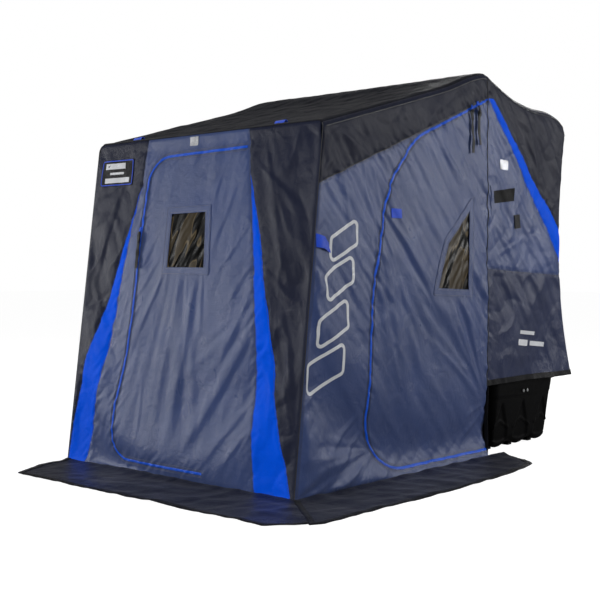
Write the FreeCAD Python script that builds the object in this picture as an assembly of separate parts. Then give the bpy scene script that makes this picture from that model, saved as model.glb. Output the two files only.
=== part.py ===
import FreeCAD, Part
import math
import os

# Flip-over ice fishing shelter: a fabric canopy on three bows that pivot on a moulded sled.
# Origin: on the ice under the middle of the sled. +Y is the back of the shelter, +Z is up.
# A "station" is a distance back from the front wall's base line. All lengths in millimetres.

V = FreeCAD.Vector

# --- driving dimensions -------------------------------------------------------------------
HALF_WIDTH = 800.0            # outer face of a side wall at the ice
FRONT_STATION = -2010.0       # y of the front wall's base line
FRONT_HEIGHT = 1660.0         # top edge of the front wall
FRONT_LEAN = 212.0            # how far that edge is set back
RIDGE_HEIGHT = 2030.0
RIDGE = 1550.0                # station of the ridge and of the upright seam below it
SIDE_INSET = 15.0             # how far a side wall leans in over the front wall's height
REAR_WAIST = 2345.0           # station of the rear wall's narrowest point
REAR_WAIST_HEIGHT = 1100.0
REAR_FLARE_LOW = 123.0        # the rear wall curves out by this at the hem
REAR_FLARE_HIGH = 85.0        # and by this at the rear bow
REAR_HALF_SPAN = 690.0        # height from the waist to either end
HEM_TOP = 412.0
HEM_BOTTOM = 382.0
FABRIC = 5.0                  # quilted fabric
GAP = 1.0                     # running gap round a door
HINGE_RELIEF = 9.0            # the side wall is cut back by this beside a door's hinge
WALL_CLEARANCE = 3.5          # between the front wall's edges and the side walls it slides between
SEAM_FRONT = 1379.0           # height of the cap seam at the front corner
SEAM_RIDGE = 1905.0           # and at the ridge

SLED_HALF_LENGTH = 755.0
SLED_HALF_DEPTH = 365.0
SLED_TOP = 402.0
SLED_BOTTOM = 15.0
SLED_WALL = 6.0
SLED_DRAFT_X = 40.0
SLED_DRAFT_Y = 45.0
RIM_OUT = 10.0
RUNNER = 15.0

TUBE = 25.0                   # square outer bow tube
TUBE_WALL = 1.6
INNER_TUBE = 21.0
ELBOW = 34.0
LEG_X = 750.0                 # middle plane of the bow legs
PIVOT_Z = 450.0
PIN_RADIUS = 4.0
PIN_CLEARANCE = 0.05
OUTER_LEG_LENGTH = 1290.0
INNER_LEG_START = 1100.0

SEAT_X = 390.0
SEAT_Y = -10.0
RAIL = 30.0
RAIL_Y = 190.0
CUSHION_TOP = 532.0

ZIP_WIDTH = 7.0
ZIP_HEIGHT = 2.5

RIDGE_Y = FRONT_STATION + RIDGE
front_slope = math.atan2(FRONT_LEAN, FRONT_HEIGHT)
side_slope = math.atan2(SIDE_INSET, FRONT_HEIGHT)
roof_slope = math.atan2(RIDGE_HEIGHT - FRONT_HEIGHT, RIDGE - FRONT_LEAN)
ROOF_DROP = FABRIC / math.cos(roof_slope)      # upright thickness of the sloping front roof
REAR_DROP = 1.1 * FABRIC                       # and of the rear roof


# --- local frames -------------------------------------------------------------------------
def frame(origin, u, v):
    """Placement whose local x and y run along u and v."""
    w = u.cross(v)
    rows = [(u.x, v.x, w.x, origin.x), (u.y, v.y, w.y, origin.y), (u.z, v.z, w.z, origin.z)]
    return FreeCAD.Placement(FreeCAD.Matrix(*rows[0], *rows[1], *rows[2], 0, 0, 0, 1))


up_the_front = V(0, math.sin(front_slope), math.cos(front_slope))
up_the_side = V(-math.sin(side_slope), 0, math.cos(side_slope))
FRONT_FRAME = frame(V(0, FRONT_STATION, 0), V(1, 0, 0), up_the_front)
SIDE_FRAME = frame(V(HALF_WIDTH, FRONT_STATION, 0), V(0, 1, 0), up_the_side)


def up_front(height):
    """Distance up the leaning front wall to a height above the ice."""
    return height / math.cos(front_slope)


def corner_station(height):
    return FRONT_LEAN * height / FRONT_HEIGHT


def rear_station(height):
    flare = REAR_FLARE_HIGH if height > REAR_WAIST_HEIGHT else REAR_FLARE_LOW
    return REAR_WAIST + flare * ((height - REAR_WAIST_HEIGHT) / REAR_HALF_SPAN) ** 2


def placed(shape, placement):
    moved = shape.copy()
    moved.Placement = placement.multiply(moved.Placement)
    return moved


def mirrored(shape):
    return shape.mirror(V(0, 0, 0), V(1, 0, 0))


def both_sides(shape):
    return [shape, mirrored(shape)]


# --- outlines and plates ------------------------------------------------------------------
def outline(points):
    """Closed face through (u, v) points; a third value rounds that corner."""
    corners = [(V(p[0], p[1], 0), p[2] if len(p) > 2 else 0) for p in points]
    starts, ends, mids = [], [], []
    for i, (here, radius) in enumerate(corners):
        back = (corners[i - 1][0] - here).normalize()
        ahead = (corners[(i + 1) % len(corners)][0] - here).normalize()
        half = back.getAngle(ahead) / 2
        reach = radius / math.tan(half) if radius else 0
        starts.append(here + back * reach)
        ends.append(here + ahead * reach)
        centre_way = (back + ahead).normalize() if radius else V(0, 0, 0)
        mids.append(here + centre_way * (radius / math.sin(half) - radius if radius else 0))
    edges = []
    for i, (_, radius) in enumerate(corners):
        if radius:
            edges.append(Part.Arc(starts[i], mids[i], ends[i]).toShape())
        following = starts[(i + 1) % len(corners)]
        edges.append(Part.LineSegment(ends[i], following).toShape())
    return Part.Face(Part.Wire(edges))


def plate(face, low, high):
    moved = face.copy()
    moved.translate(V(0, 0, low))
    return moved.extrude(V(0, 0, high - low))


def front_plate(points, low=-FABRIC, high=0.0):
    return placed(plate(outline([(p[0], up_front(p[1]), *p[2:]) for p in points]), low, high), FRONT_FRAME)


def side_plate(points, low=-FABRIC, high=0.0):
    return placed(plate(outline(points), low, high), SIDE_FRAME)


def box(x0, x1, y0, y1, z0, z1):
    return Part.makeBox(x1 - x0, y1 - y0, z1 - z0, V(x0, y0, z0))


def prism_x(points, x0, x1):
    """Solid of a (y, z) outline, drawn out along X."""
    wire = Part.makePolygon([V(x0, y, z) for y, z in points + points[:1]])
    return Part.Face(wire).extrude(V(x1 - x0, 0, 0))


def zip_band(face, trim):
    """Zip half that lies outside an opening's edge, without its hinge side."""
    band = face.makeOffset2D(GAP + ZIP_WIDTH).cut(face.makeOffset2D(GAP))
    return plate(band, 0, ZIP_HEIGHT).cut(trim)


# --- outlines of the canopy ---------------------------------------------------------------
FOOT = 8.0                    # the walls' lower edge stands this far off the ice
FRONT_TOP = FRONT_HEIGHT - 8.0
grey_left = [(-655, FOOT), (-590, 330), (-520, 880), (-450, 1250), (-405, 1430), (-385, FRONT_TOP)]
grey_right = [(560, FOOT), (528, 300), (490, 700), (440, 1000), (360, 1440), (330, FRONT_TOP)]
blue_left = [
    (-789, FOOT), (-778, 210), (-735, 480), (-640, 740), (-535, 1030), (-470, 1230), (-405, 1430),
]
blue_right = [(775, FOOT), (690, 260), (610, 560), (548, 824), (470, 1120), (360, 1440)]
front_edge_foot = HALF_WIDTH - FABRIC - WALL_CLEARANCE
front_edge_top = front_edge_foot - SIDE_INSET

front_door_points = [
    (326, 1573), (-345, 1560, 150), (-372, 1150), (-385, 780), (-438, 330), (-425, 60, 120), (236, 57),
]
side_door_points = [
    (RIDGE - GAP, 1896), (900, 1640, 300), (680, 1400, 500), (560, 900, 1200), (497, 45, 280),
    (RIDGE - GAP, 45),
]
front_window_points = [(-155, 1008), (112, 1006), (90, 1279), (-155, 1276)]
side_window_points = [(1086, 904), (1364, 893), (1375, 1310), (1175, 1132)]

front_door_face = outline([(p[0], up_front(p[1]), *p[2:]) for p in front_door_points])
side_door_face = outline(side_door_points)


def canopy_front():
    door_hole = plate(front_door_face.makeOffset2D(GAP), -FABRIC - 1, 1)
    panel = front_plate(grey_left + grey_right[::-1]).cut(placed(door_hole, FRONT_FRAME))
    gussets = [front_plate(blue_left[::-1] + grey_left[:4]), front_plate(blue_right[::-1] + grey_right[:4])]
    corner_left = [(-front_edge_top, FRONT_TOP), grey_left[-1]] + blue_left[::-1]
    corner_right = [(front_edge_foot, FOOT), (front_edge_top, FRONT_TOP), grey_right[-1]]
    corner_right += blue_right[::-1]
    hinge_strip = plate(outline([(225, 0), (800, 0), (800, 1800), (315, 1800)]), -1, ZIP_HEIGHT + 1)
    front_zip = placed(zip_band(front_door_face, hinge_strip), FRONT_FRAME)
    label = front_plate([(-735, 1430, 6), (-480, 1430, 6), (-480, 1575, 6), (-735, 1575, 6)], 0, 2)
    return {
        "front_panel": [panel],
        "front_gussets": gussets,
        "front_corner_panels": [front_plate(corner_left), front_plate(corner_right)],
        "front_zip": [front_zip],
        "front_label": [label],
    }


def window(points, placement, up=lambda height: height):
    pane = outline([(u, up(v)) for u, v in points])
    opening = plate(pane.makeOffset2D(-8), -FABRIC - 1, 1)
    sheet = placed(plate(pane, -FABRIC - 2.0, -FABRIC), placement)
    border = plate(pane.makeOffset2D(30).cut(pane.makeOffset2D(-8)), 0, 1.5)
    return placed(opening, placement), sheet, placed(border, placement)


def doors():
    front_hole, front_pane, front_border = window(front_window_points, FRONT_FRAME, up_front)
    side_hole, side_pane, side_border = window(side_window_points, SIDE_FRAME)
    front_door = placed(plate(front_door_face, -FABRIC, 0), FRONT_FRAME).cut(front_hole)
    side_door = placed(plate(side_door_face, -FABRIC, 0), SIDE_FRAME).cut(side_hole).fuse(side_border)
    return {
        "front_door": [front_door],
        "front_window": [front_pane],
        "front_window_border": [front_border],
        "side_door_right": [side_door],
        "side_door_left": [mirrored(side_door)],
        "side_window_right": [side_pane],
        "side_window_left": [mirrored(side_pane)],
    }


def canopy_sides():
    hole = plate(side_door_face.makeOffset2D(GAP), -FABRIC - 1, 1)
    seam = [(corner_station(SEAM_FRONT), SEAM_FRONT), (RIDGE, SEAM_RIDGE)]
    wall = outline([(1, FOOT)] + seam + [(RIDGE, FOOT)])
    wall = placed(plate(wall, -FABRIC, 0).cut(hole), SIDE_FRAME)
    wall = wall.cut(box(0, HALF_WIDTH + 9, RIDGE_Y - HINGE_RELIEF, RIDGE_Y, 40, SEAM_RIDGE - 4))
    cap = side_plate([
        seam[0], (corner_station(FRONT_HEIGHT), FRONT_HEIGHT - ROOF_DROP),
        (RIDGE, RIDGE_HEIGHT - ROOF_DROP), seam[1]])
    hinge_strip = box(RIDGE - 20, RIDGE + 20, 0, 2000, -1, ZIP_HEIGHT + 1)
    zip_half = placed(zip_band(side_door_face, hinge_strip), SIDE_FRAME)
    return {
        "side_wall_right": [wall],
        "side_wall_left": [mirrored(wall)],
        "side_caps": both_sides(cap),
        "side_zips": both_sides(zip_half),
    }


def rear_edge(low, high, steps=6):
    """Points down the curved rear edge of a side, inside the rear wall's fabric."""
    heights = [low + (high - low) * i / steps for i in range(steps + 1)]
    return [(rear_station(h) - FABRIC - 3, h) for h in heights]


REAR_TOP = 1790.0             # height at which the rear wall meets the rear roof
REAR_ROOF = [(RIDGE, RIDGE_HEIGHT), (1850, 1938), (2385, 1850), (2425, REAR_TOP)]
stripe_inner = [(RIDGE, SEAM_RIDGE), (1881, 1560), (2152, 1263)]
stripe_outer = [(RIDGE + 55, SEAM_RIDGE), (1800, 1715), (2190, 1366)]
STRIPE_END_LOW = 1000.0
STRIPE_END_HIGH = 1210.0
ENVELOPE_TOP = 2040.0


def canopy_rear():
    low_edge = rear_edge(HEM_TOP + GAP, STRIPE_END_LOW)
    grey = [(RIDGE, HEM_TOP + GAP)] + low_edge + stripe_inner[::-1]
    blue = stripe_inner + rear_edge(STRIPE_END_LOW, STRIPE_END_HIGH, 2) + stripe_outer[::-1]
    cap = stripe_outer + rear_edge(STRIPE_END_HIGH, REAR_TOP - 20, 4)
    cap += [(2378, 1850 - REAR_DROP), (1850, 1938 - REAR_DROP), (RIDGE, RIDGE_HEIGHT - REAR_DROP)]
    cap.append(stripe_inner[0])

    top_half = HALF_WIDTH - SIDE_INSET * ENVELOPE_TOP / FRONT_HEIGHT
    between_sides = [(-HALF_WIDTH, 0), (HALF_WIDTH, 0), (top_half, ENVELOPE_TOP), (-top_half, ENVELOPE_TOP)]
    wire = Part.makePolygon([V(x, -3000, z) for x, z in between_sides + between_sides[:1]])
    envelope = Part.Face(wire).extrude(V(0, 6000, 0))

    heights = [HEM_BOTTOM + (REAR_TOP - HEM_BOTTOM) * i / 12 for i in range(13)]
    outer = [(FRONT_STATION + rear_station(h), h) for h in heights]
    inner = [(y - FABRIC, z) for y, z in outer]
    rear_wall = prism_x(outer + inner[::-1], -HALF_WIDTH, HALF_WIDTH).common(envelope)

    slope = [(FRONT_STATION + FRONT_LEAN, FRONT_HEIGHT), (RIDGE_Y, RIDGE_HEIGHT)]
    slope += [(y, z - ROOF_DROP) for y, z in slope[::-1]]
    roof_front = prism_x(slope, -HALF_WIDTH, HALF_WIDTH).common(envelope)
    top = [(FRONT_STATION + s, z) for s, z in REAR_ROOF]
    under = [(y, z - REAR_DROP) for y, z in top[:-2]]
    under += [(top[2][0] - 7, top[2][1] - REAR_DROP), (top[3][0] - 5, top[3][1])]
    roof_rear = prism_x(top + under[::-1], -HALF_WIDTH, HALF_WIDTH).common(envelope)
    return {
        "rear_side_right": [side_plate(grey)],
        "rear_side_left": [mirrored(side_plate(grey))],
        "rear_stripes": both_sides(side_plate(blue)),
        "rear_caps": both_sides(side_plate(cap)),
        "rear_wall": [rear_wall],
        "roof_front": [roof_front],
        "roof_rear": [roof_rear],
    }


def hem_and_skirts():
    hem_out = HALF_WIDTH - SIDE_INSET * HEM_BOTTOM / FRONT_HEIGHT
    rear_y = FRONT_STATION + rear_station(HEM_TOP) - FABRIC
    start_y = RIDGE_Y + 5
    hem = box(hem_out - 5, hem_out, start_y, rear_y - 1, HEM_BOTTOM, HEM_TOP)
    wind_flap = box(SLED_HALF_LENGTH + 12, 790, start_y, start_y + FABRIC, 4, HEM_BOTTOM)

    def on_ice(points, low, high):
        face = outline([(p[0], FRONT_STATION + p[1], *p[2:]) for p in points])
        return plate(face, low, high)

    edge = HALF_WIDTH
    right = on_ice([
        (edge, 0), (1118, -262), (1150, -206), (1162, 853), (1118, 1341), (1072, 1534), (987, 1612, 60),
        (edge, 1700), (edge, RIDGE)], 0, 3)
    left = on_ice([(-edge + 10, 60), (-470, 90, 60), (-440, 1480, 60), (-edge + 10, 1530)], 0, 3)
    front = on_ice([
        (-edge + 8, 0), (-790, -150, 90), (-672, -396, 50), (993, -400), (1085, -315), (1110, -255),
        (edge - 7, 0)], 3.4, 6.4)
    return {
        "rim_hem": both_sides(hem) + both_sides(wind_flap),
        "skirt_right": [right],
        "skirt_left": [left],
        "front_skirt": [front],
    }


def trim():
    vent = [(1607, 1348), (1821, 1371), (1820, 1450), (1601, 1422)]
    keeper = [(1833, 1223), (1893, 1230), (1870, 1303), (1811, 1297)]
    patch = [(1674, 1538), (1755, 1538), (1755, 1592), (1674, 1592)]
    loop = [(157, 1100), (250, 1096), (250, 1159), (165, 1159)]
    roof_tab = box(470, 530, FRONT_STATION + 240, FRONT_STATION + 262, 1676, 1690)
    tabs = [side_plate(patch, 0, 1.5), side_plate(loop, 0, 3), roof_tab]
    return {
        "vent_screens": both_sides(side_plate(vent, 0, 2)) + both_sides(side_plate(keeper, 0, 2)),
        "trim_tabs": [half for tab in tabs for half in both_sides(tab)],
    }


# --- sled ---------------------------------------------------------------------------------
def rounded_rect(half_x, half_y, radius, z):
    corners = [(half_x, half_y), (-half_x, half_y), (-half_x, -half_y), (half_x, -half_y)]
    return outline([corner + (radius,) for corner in corners]).translated(V(0, 0, z))


def tub_shell(inset, bottom, top):
    """Tapered tub, its outer faces moved in by inset."""
    span = SLED_TOP - SLED_BOTTOM

    def section(z):
        drop = (SLED_TOP - z) / span
        return rounded_rect(SLED_HALF_LENGTH - SLED_DRAFT_X * drop - inset,
                            SLED_HALF_DEPTH - SLED_DRAFT_Y * drop - inset, 90 - inset, z).OuterWire
    return Part.makeLoft([section(bottom), section(top)], True)


def end_wall_x(z):
    return SLED_HALF_LENGTH - SLED_DRAFT_X * (SLED_TOP - z) / (SLED_TOP - SLED_BOTTOM)


BRACKET_X = LEG_X - TUBE / 2 - 2.5          # outer face of a pivot plate
BRACKET_THICK = 5.0
BOLT_RADIUS = 4.0
PIVOT_BOLTS = [(-21.0, 319.0), (21.0, 319.0)]
HITCH_BOLTS = [(-38.0, 200.0), (38.0, 200.0)]
HITCH_REACH = 92.0            # the pin hole stands clear of the canopy's side
HITCH_PIN_RADIUS = 6.5
BOW_PIVOTS = {"front": -90.0, "mid": -10.0, "rear": 70.0}


def across(x0, x1, y, z, radius):
    return Part.makeCylinder(radius, x1 - x0, V(x0, y, z), V(1, 0, 0))


def sled():
    tub = tub_shell(0, SLED_BOTTOM, SLED_TOP).cut(tub_shell(SLED_WALL, SLED_BOTTOM + SLED_WALL, SLED_TOP))
    rim = rounded_rect(SLED_HALF_LENGTH + RIM_OUT, SLED_HALF_DEPTH + RIM_OUT + 5, 100, SLED_TOP - 8)
    rim = rim.extrude(V(0, 0, 8)).cut(tub_shell(SLED_WALL, SLED_BOTTOM + SLED_WALL, SLED_TOP))
    lip = rounded_rect(SLED_HALF_LENGTH + RIM_OUT, SLED_HALF_DEPTH + RIM_OUT + 5, 100, SLED_TOP - 32)
    lip_hole = rounded_rect(SLED_HALF_LENGTH + RIM_OUT - 5, SLED_HALF_DEPTH + RIM_OUT, 95, SLED_TOP - 32)
    tub = tub.fuse(rim).fuse(lip.extrude(V(0, 0, 26)).cut(lip_hole.extrude(V(0, 0, 24)))
                             .cut(tub_shell(SLED_WALL, SLED_BOTTOM + SLED_WALL, SLED_TOP)))
    runners = [box(-650, 650, y - 20, y + 20, 0, RUNNER) for y in (-220, 0, 220)]

    bracket = box(BRACKET_X - BRACKET_THICK, BRACKET_X, -125, 105, 296, PIVOT_Z + 22)
    bolts = []
    for y, z in PIVOT_BOLTS:
        wall = end_wall_x(z)
        hole = across(700, 790, y, z, BOLT_RADIUS + PIN_CLEARANCE)
        tub = tub.cut(hole).cut(mirrored(hole))
        bracket = bracket.cut(hole)
        bolt = across(BRACKET_X - BRACKET_THICK - 8, wall + 2, y, z, BOLT_RADIUS)
        head = across(wall + 2, wall + 7, y, z, 9)
        nut = across(BRACKET_X - BRACKET_THICK - 7, BRACKET_X - BRACKET_THICK - 0.5, y, z, 7)
        bolts += both_sides(bolt.fuse(head).fuse(nut))
    pins = []
    for y in BOW_PIVOTS.values():
        bracket = bracket.cut(across(700, 790, y, PIVOT_Z, PIN_RADIUS + PIN_CLEARANCE))
        pins += both_sides(across(BRACKET_X - BRACKET_THICK, LEG_X + TUBE / 2 + 6, y, PIVOT_Z, PIN_RADIUS))

    tow = end_wall_x(232) + 1
    hitch = box(-tow - 6, -tow, -60, 60, 168, 232)
    for z in (184, 208):
        hitch = hitch.fuse(box(-tow - HITCH_REACH - 22, -tow - 6, -26, 26, z, z + 8))
    hitch = hitch.cut(Part.makeCylinder(HITCH_PIN_RADIUS, 60, V(-tow - HITCH_REACH, 0, 170)))
    for y, z in HITCH_BOLTS:
        hole = across(-790, -690, y, z, BOLT_RADIUS + PIN_CLEARANCE)
        tub = tub.cut(hole)
        hitch = hitch.cut(hole)
        inside = end_wall_x(z) - SLED_WALL
        bolt = across(-tow - 8, -inside + 8, y, z, BOLT_RADIUS)
        head = across(-tow - 12, -tow - 6.1, y, z, 8)
        nut = across(-inside + 2, -inside + 8, y, z, 7)
        bolts.append(bolt.fuse(head).fuse(nut))
    return {
        "sled_tub": [tub],
        "sled_runners": runners,
        "pivot_brackets": both_sides(bracket),
        "bracket_bolts": bolts,
        "bow_pins": pins,
        "hitch_bracket": [hitch],
    }


# --- bows ---------------------------------------------------------------------------------
def square_tube(size, start, end, wall=TUBE_WALL):
    solid = box(-size / 2, size / 2, -size / 2, size / 2, start, end)
    if wall:
        half = size / 2 - wall
        solid = solid.cut(box(-half, half, -half, half, start - 1, end + 1))
    return solid


class Bow:
    """A bow whose legs pivot at the sled and whose bar crosses the roof."""

    def __init__(self, name, bar_station, bar_height):
        self.pivot = V(0, BOW_PIVOTS[name], PIVOT_Z)
        way = V(0, FRONT_STATION + bar_station, bar_height) - self.pivot
        self.reach = way.Length
        up = way.normalize()
        side = V(1, 0, 0)
        self.upright = frame(V(LEG_X, 0, 0) + self.pivot, side, up.cross(side))

    def leg(self, size, start, end, wall=TUBE_WALL):
        return placed(square_tube(size, start, end, wall), self.upright)

    def pin_hole(self):
        return across(700, 790, self.pivot.y, self.pivot.z, PIN_RADIUS + PIN_CLEARANCE)

    def bar(self, size):
        end = LEG_X - ELBOW / 2
        solid = square_tube(size, -end, end)
        along = FreeCAD.Placement(V(-LEG_X, 0, self.reach), FreeCAD.Rotation(V(0, 1, 0), 90))
        return placed(placed(solid, along), self.upright)

    def elbow(self):
        half = ELBOW / 2
        block = box(-half, half, -half, half, self.reach - half, self.reach + half)
        return placed(block.makeFillet(5, block.Edges), self.upright)


front_bow = Bow("front", 250, 1622)
mid_bow = Bow("mid", RIDGE, RIDGE_HEIGHT - 34)
rear_bow = Bow("rear", 2372, 1812)


def bows():
    parts = {}
    elbows = []
    for name, bow in (("mid", mid_bow), ("rear", rear_bow)):
        leg = bow.leg(TUBE, -18, bow.reach - ELBOW / 2).cut(bow.pin_hole())
        parts[name + "_bow_legs"] = both_sides(leg)
        parts[name + "_bow_bar"] = [bow.bar(TUBE)]
        elbows += both_sides(bow.elbow())
    parts["bow_elbows"] = elbows

    outer = front_bow.leg(TUBE, -18, OUTER_LEG_LENGTH).cut(front_bow.pin_hole())
    clamp = front_bow.leg(TUBE + 12, OUTER_LEG_LENGTH - 45, OUTER_LEG_LENGTH - 2, 6)
    knob = Part.makeCylinder(14, 16, V(-TUBE / 2 - 6, 0, OUTER_LEG_LENGTH - 24), V(-1, 0, 0))
    knob = placed(knob, front_bow.upright)
    inner = front_bow.leg(INNER_TUBE, INNER_LEG_START, front_bow.reach - ELBOW / 2)
    parts["front_bow_legs"] = both_sides(outer)
    parts["leg_clamps"] = both_sides(clamp.fuse(knob))
    parts["front_bow_inner_legs"] = both_sides(inner)
    parts["front_bow_bar"] = [front_bow.bar(INNER_TUBE)]
    parts["front_bow_elbows"] = both_sides(front_bow.elbow())
    return parts


# --- zip sliders and pulls ----------------------------------------------------------------
def slider_and_pull(u, v, pull_length, placement):
    body = box(-7, 7, -15, 15, 3.2, 8.5)
    pull = box(-10, 10, -pull_length, 1, 9.5, 12).fuse(box(-12, 12, -70, -8, 9.5, 14))
    spot = placement.multiply(FreeCAD.Placement(V(u, v, 0), FreeCAD.Rotation()))
    return placed(body, spot), placed(pull, spot)


def sliders():
    front_slider, front_pull = slider_and_pull(-373, up_front(1202), 195, FRONT_FRAME)
    side_slider, side_pull = slider_and_pull(1385, 1838, 235, SIDE_FRAME)
    return {
        "front_slider": [front_slider],
        "front_pull": [front_pull],
        "side_slider_right": [side_slider],
        "side_pull_right": [side_pull],
        "side_slider_left": [mirrored(side_slider)],
        "side_pull_left": [mirrored(side_pull)],
    }


# --- seats --------------------------------------------------------------------------------
RAIL_TOP = SLED_TOP + RAIL
CARRIAGE_TOP = RAIL_TOP + 6.5
BACK_AXIS_Y = 225.0
BACK_AXIS_Z = 572.0
BACK_HALF_WIDTH = 170.0
BACK_LEAN = 5.0


def seat(centre_x):
    """One swivel seat at x = centre_x, on a carriage that slides along the rails."""
    carriage = box(-150, 150, -210, 210, RAIL_TOP + 0.5, CARRIAGE_TOP)
    for side in (-1, 1):
        lip_y = sorted((side * (RAIL_Y + RAIL / 2 + 1), side * (RAIL_Y + RAIL / 2 + 5)))
        carriage = carriage.fuse(box(-150, 150, lip_y[0], lip_y[1], SLED_TOP + 8, CARRIAGE_TOP))
    carriage = carriage.cut(Part.makeCylinder(12 + PIN_CLEARANCE, 60, V(0, 0, RAIL_TOP - 20)))

    spindle = Part.makeCylinder(12, CARRIAGE_TOP - RAIL_TOP, V(0, 0, RAIL_TOP + 0.8))
    disc = Part.makeCylinder(100, 12, V(0, 0, CARRIAGE_TOP + 0.4))
    pan_low = CARRIAGE_TOP + 12.4
    pan_face = outline([(178, -200, 50), (178, 241), (-178, 241), (-178, -200, 50)])
    pan = pan_face.translated(V(0, 0, pan_low)).extrude(V(0, 0, 10)).fuse(disc).fuse(spindle)
    axle = Part.makeCylinder(5, 400, V(-200, BACK_AXIS_Y, BACK_AXIS_Z), V(1, 0, 0))
    axle_hole = Part.makeCylinder(5 + PIN_CLEARANCE, 400, V(-200, BACK_AXIS_Y, BACK_AXIS_Z), V(1, 0, 0))
    for x0, x1 in ((-178, -172), (172, 178)):
        pan = pan.fuse(box(x0, x1, BACK_AXIS_Y - 14, BACK_AXIS_Y + 14, pan_low, BACK_AXIS_Z + 14))
    pan = pan.cut(axle_hole)

    cushion = outline([(168, -195, 50), (168, 195, 30), (-168, 195, 30), (-168, -195, 50)])
    cushion = cushion.translated(V(0, 0, pan_low + 10.3)).extrude(V(0, 0, CUSHION_TOP - pan_low - 10.3))
    back = box(-BACK_HALF_WIDTH, BACK_HALF_WIDTH, BACK_AXIS_Y - 25, BACK_AXIS_Y + 25, BACK_AXIS_Z - 22, 905)
    back = back.makeFillet(16, back.Edges).fuse(axle.common(box(-178, 178, 0, 400, 0, 900)))
    back.rotate(V(0, BACK_AXIS_Y, BACK_AXIS_Z), V(-1, 0, 0), BACK_LEAN)
    return [s.translated(V(centre_x, SEAT_Y, 0)) for s in (carriage, pan, cushion, back)]


def seats():
    middles = (SEAT_Y - RAIL_Y, SEAT_Y + RAIL_Y)
    rails = [box(-764, 764, y - RAIL / 2, y + RAIL / 2, SLED_TOP, RAIL_TOP) for y in middles]
    parts = {"seat_rails": rails}
    for side, x in (("left", -SEAT_X), ("right", SEAT_X)):
        for name, solid in zip(("seat_carriage", "seat_pan", "seat_cushion", "seat_back"), seat(x)):
            parts[name + "_" + side] = [solid]
    return parts


# --- write one file per node --------------------------------------------------------------
def write(name, solids):
    single = []
    for solid in solids:
        single += solid.removeSplitter().Solids
    shape = single[0] if len(single) == 1 else Part.makeCompound(single)
    assert shape.isValid() and all(s.Volume > 0 for s in single), name
    shape.exportStep("parts/" + name + ".step")


def main():
    os.makedirs("parts", exist_ok=True)
    nodes = {}
    canopy = (canopy_front, doors, canopy_sides, canopy_rear, hem_and_skirts, trim, sliders)
    for group in canopy + (sled, bows, seats):
        nodes.update(group())
    for name, solids in nodes.items():
        write(name, solids)
    print(len(nodes), "nodes")


main()
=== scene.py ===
"""Looks of a flip-over ice fishing shelter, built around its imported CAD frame.

Metres. +Y is the back of the shelter and +Z is up. A "station" is a distance back from the front wall's
base line. Walls are drawn flat, in (u, v), and then laid on curved surfaces: (x, z) on the front and rear
walls, (station, z) on the sides, (x, station) on the roof and on the ice. w is a distance out of them.
"""
import math

import bmesh
import bpy
import numpy as np
from mathutils import Matrix, Vector
from mathutils.bvhtree import BVHTree
from mathutils.geometry import delaunay_2d_cdt


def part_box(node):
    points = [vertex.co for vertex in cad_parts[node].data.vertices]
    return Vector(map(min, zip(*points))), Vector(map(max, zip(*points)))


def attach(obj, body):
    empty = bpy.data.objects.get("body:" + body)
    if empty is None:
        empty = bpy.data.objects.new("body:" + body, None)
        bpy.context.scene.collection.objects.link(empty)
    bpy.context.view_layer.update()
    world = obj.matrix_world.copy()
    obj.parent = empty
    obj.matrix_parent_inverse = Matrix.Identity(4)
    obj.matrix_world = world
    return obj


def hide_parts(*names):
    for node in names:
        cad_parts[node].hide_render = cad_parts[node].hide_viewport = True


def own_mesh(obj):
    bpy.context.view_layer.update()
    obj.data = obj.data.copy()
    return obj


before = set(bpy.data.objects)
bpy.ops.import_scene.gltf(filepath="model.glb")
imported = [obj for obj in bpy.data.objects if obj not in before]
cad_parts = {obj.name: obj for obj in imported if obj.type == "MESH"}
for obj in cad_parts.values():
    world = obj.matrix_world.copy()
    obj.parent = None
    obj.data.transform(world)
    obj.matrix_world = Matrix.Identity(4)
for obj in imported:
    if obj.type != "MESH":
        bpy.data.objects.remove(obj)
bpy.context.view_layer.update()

# --- driving dimensions, most of them from the frame --------------------------------------
wall_low, wall_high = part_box("side_wall_right")
roof_low, roof_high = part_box("roof_front")
RIDGE_Y = wall_high.y
FRONT_Y = wall_low.y - 0.001
LEAN = roof_low.y - FRONT_Y            # how far the front wall's top edge is set back
RIDGE = RIDGE_Y - FRONT_Y              # station of the ridge
RIDGE_Z = roof_high.z
HALF_WIDTH = 0.8
FRONT_Z = 1.66
SIDE_INSET = 0.015
REAR_TAPER = 0.012
WAIST_STATION = 2.345
WAIST_Z = 1.1
WAIST_SPAN = 0.69
FLARE_LOW = 0.123
FLARE_HIGH = 0.085
REAR_TOP = 2.385
HEM_LOW, HEM_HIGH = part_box("rim_hem")[1].z - 0.03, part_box("rim_hem")[1].z
FOOT = 0.008
SEAM_FRONT = 1.379
SEAM_RIDGE = 1.905

CLOTH = 0.0018
CORNER_RADIUS = 0.014
BROW_RADIUS = 0.022
BROW_TURN = math.radians(33)
EAVE_RADIUS = 0.04
REAR_RADIUS = 0.035

FINE = 0.0085      # spacing of the points on cloth that faces the camera
COARSE = 0.016


# --- noise and folds ----------------------------------------------------------------------
def smooth(x, low, high):
    t = np.clip((x - low) / (high - low), 0, 1)
    return t * t * (3 - 2 * t)


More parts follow.
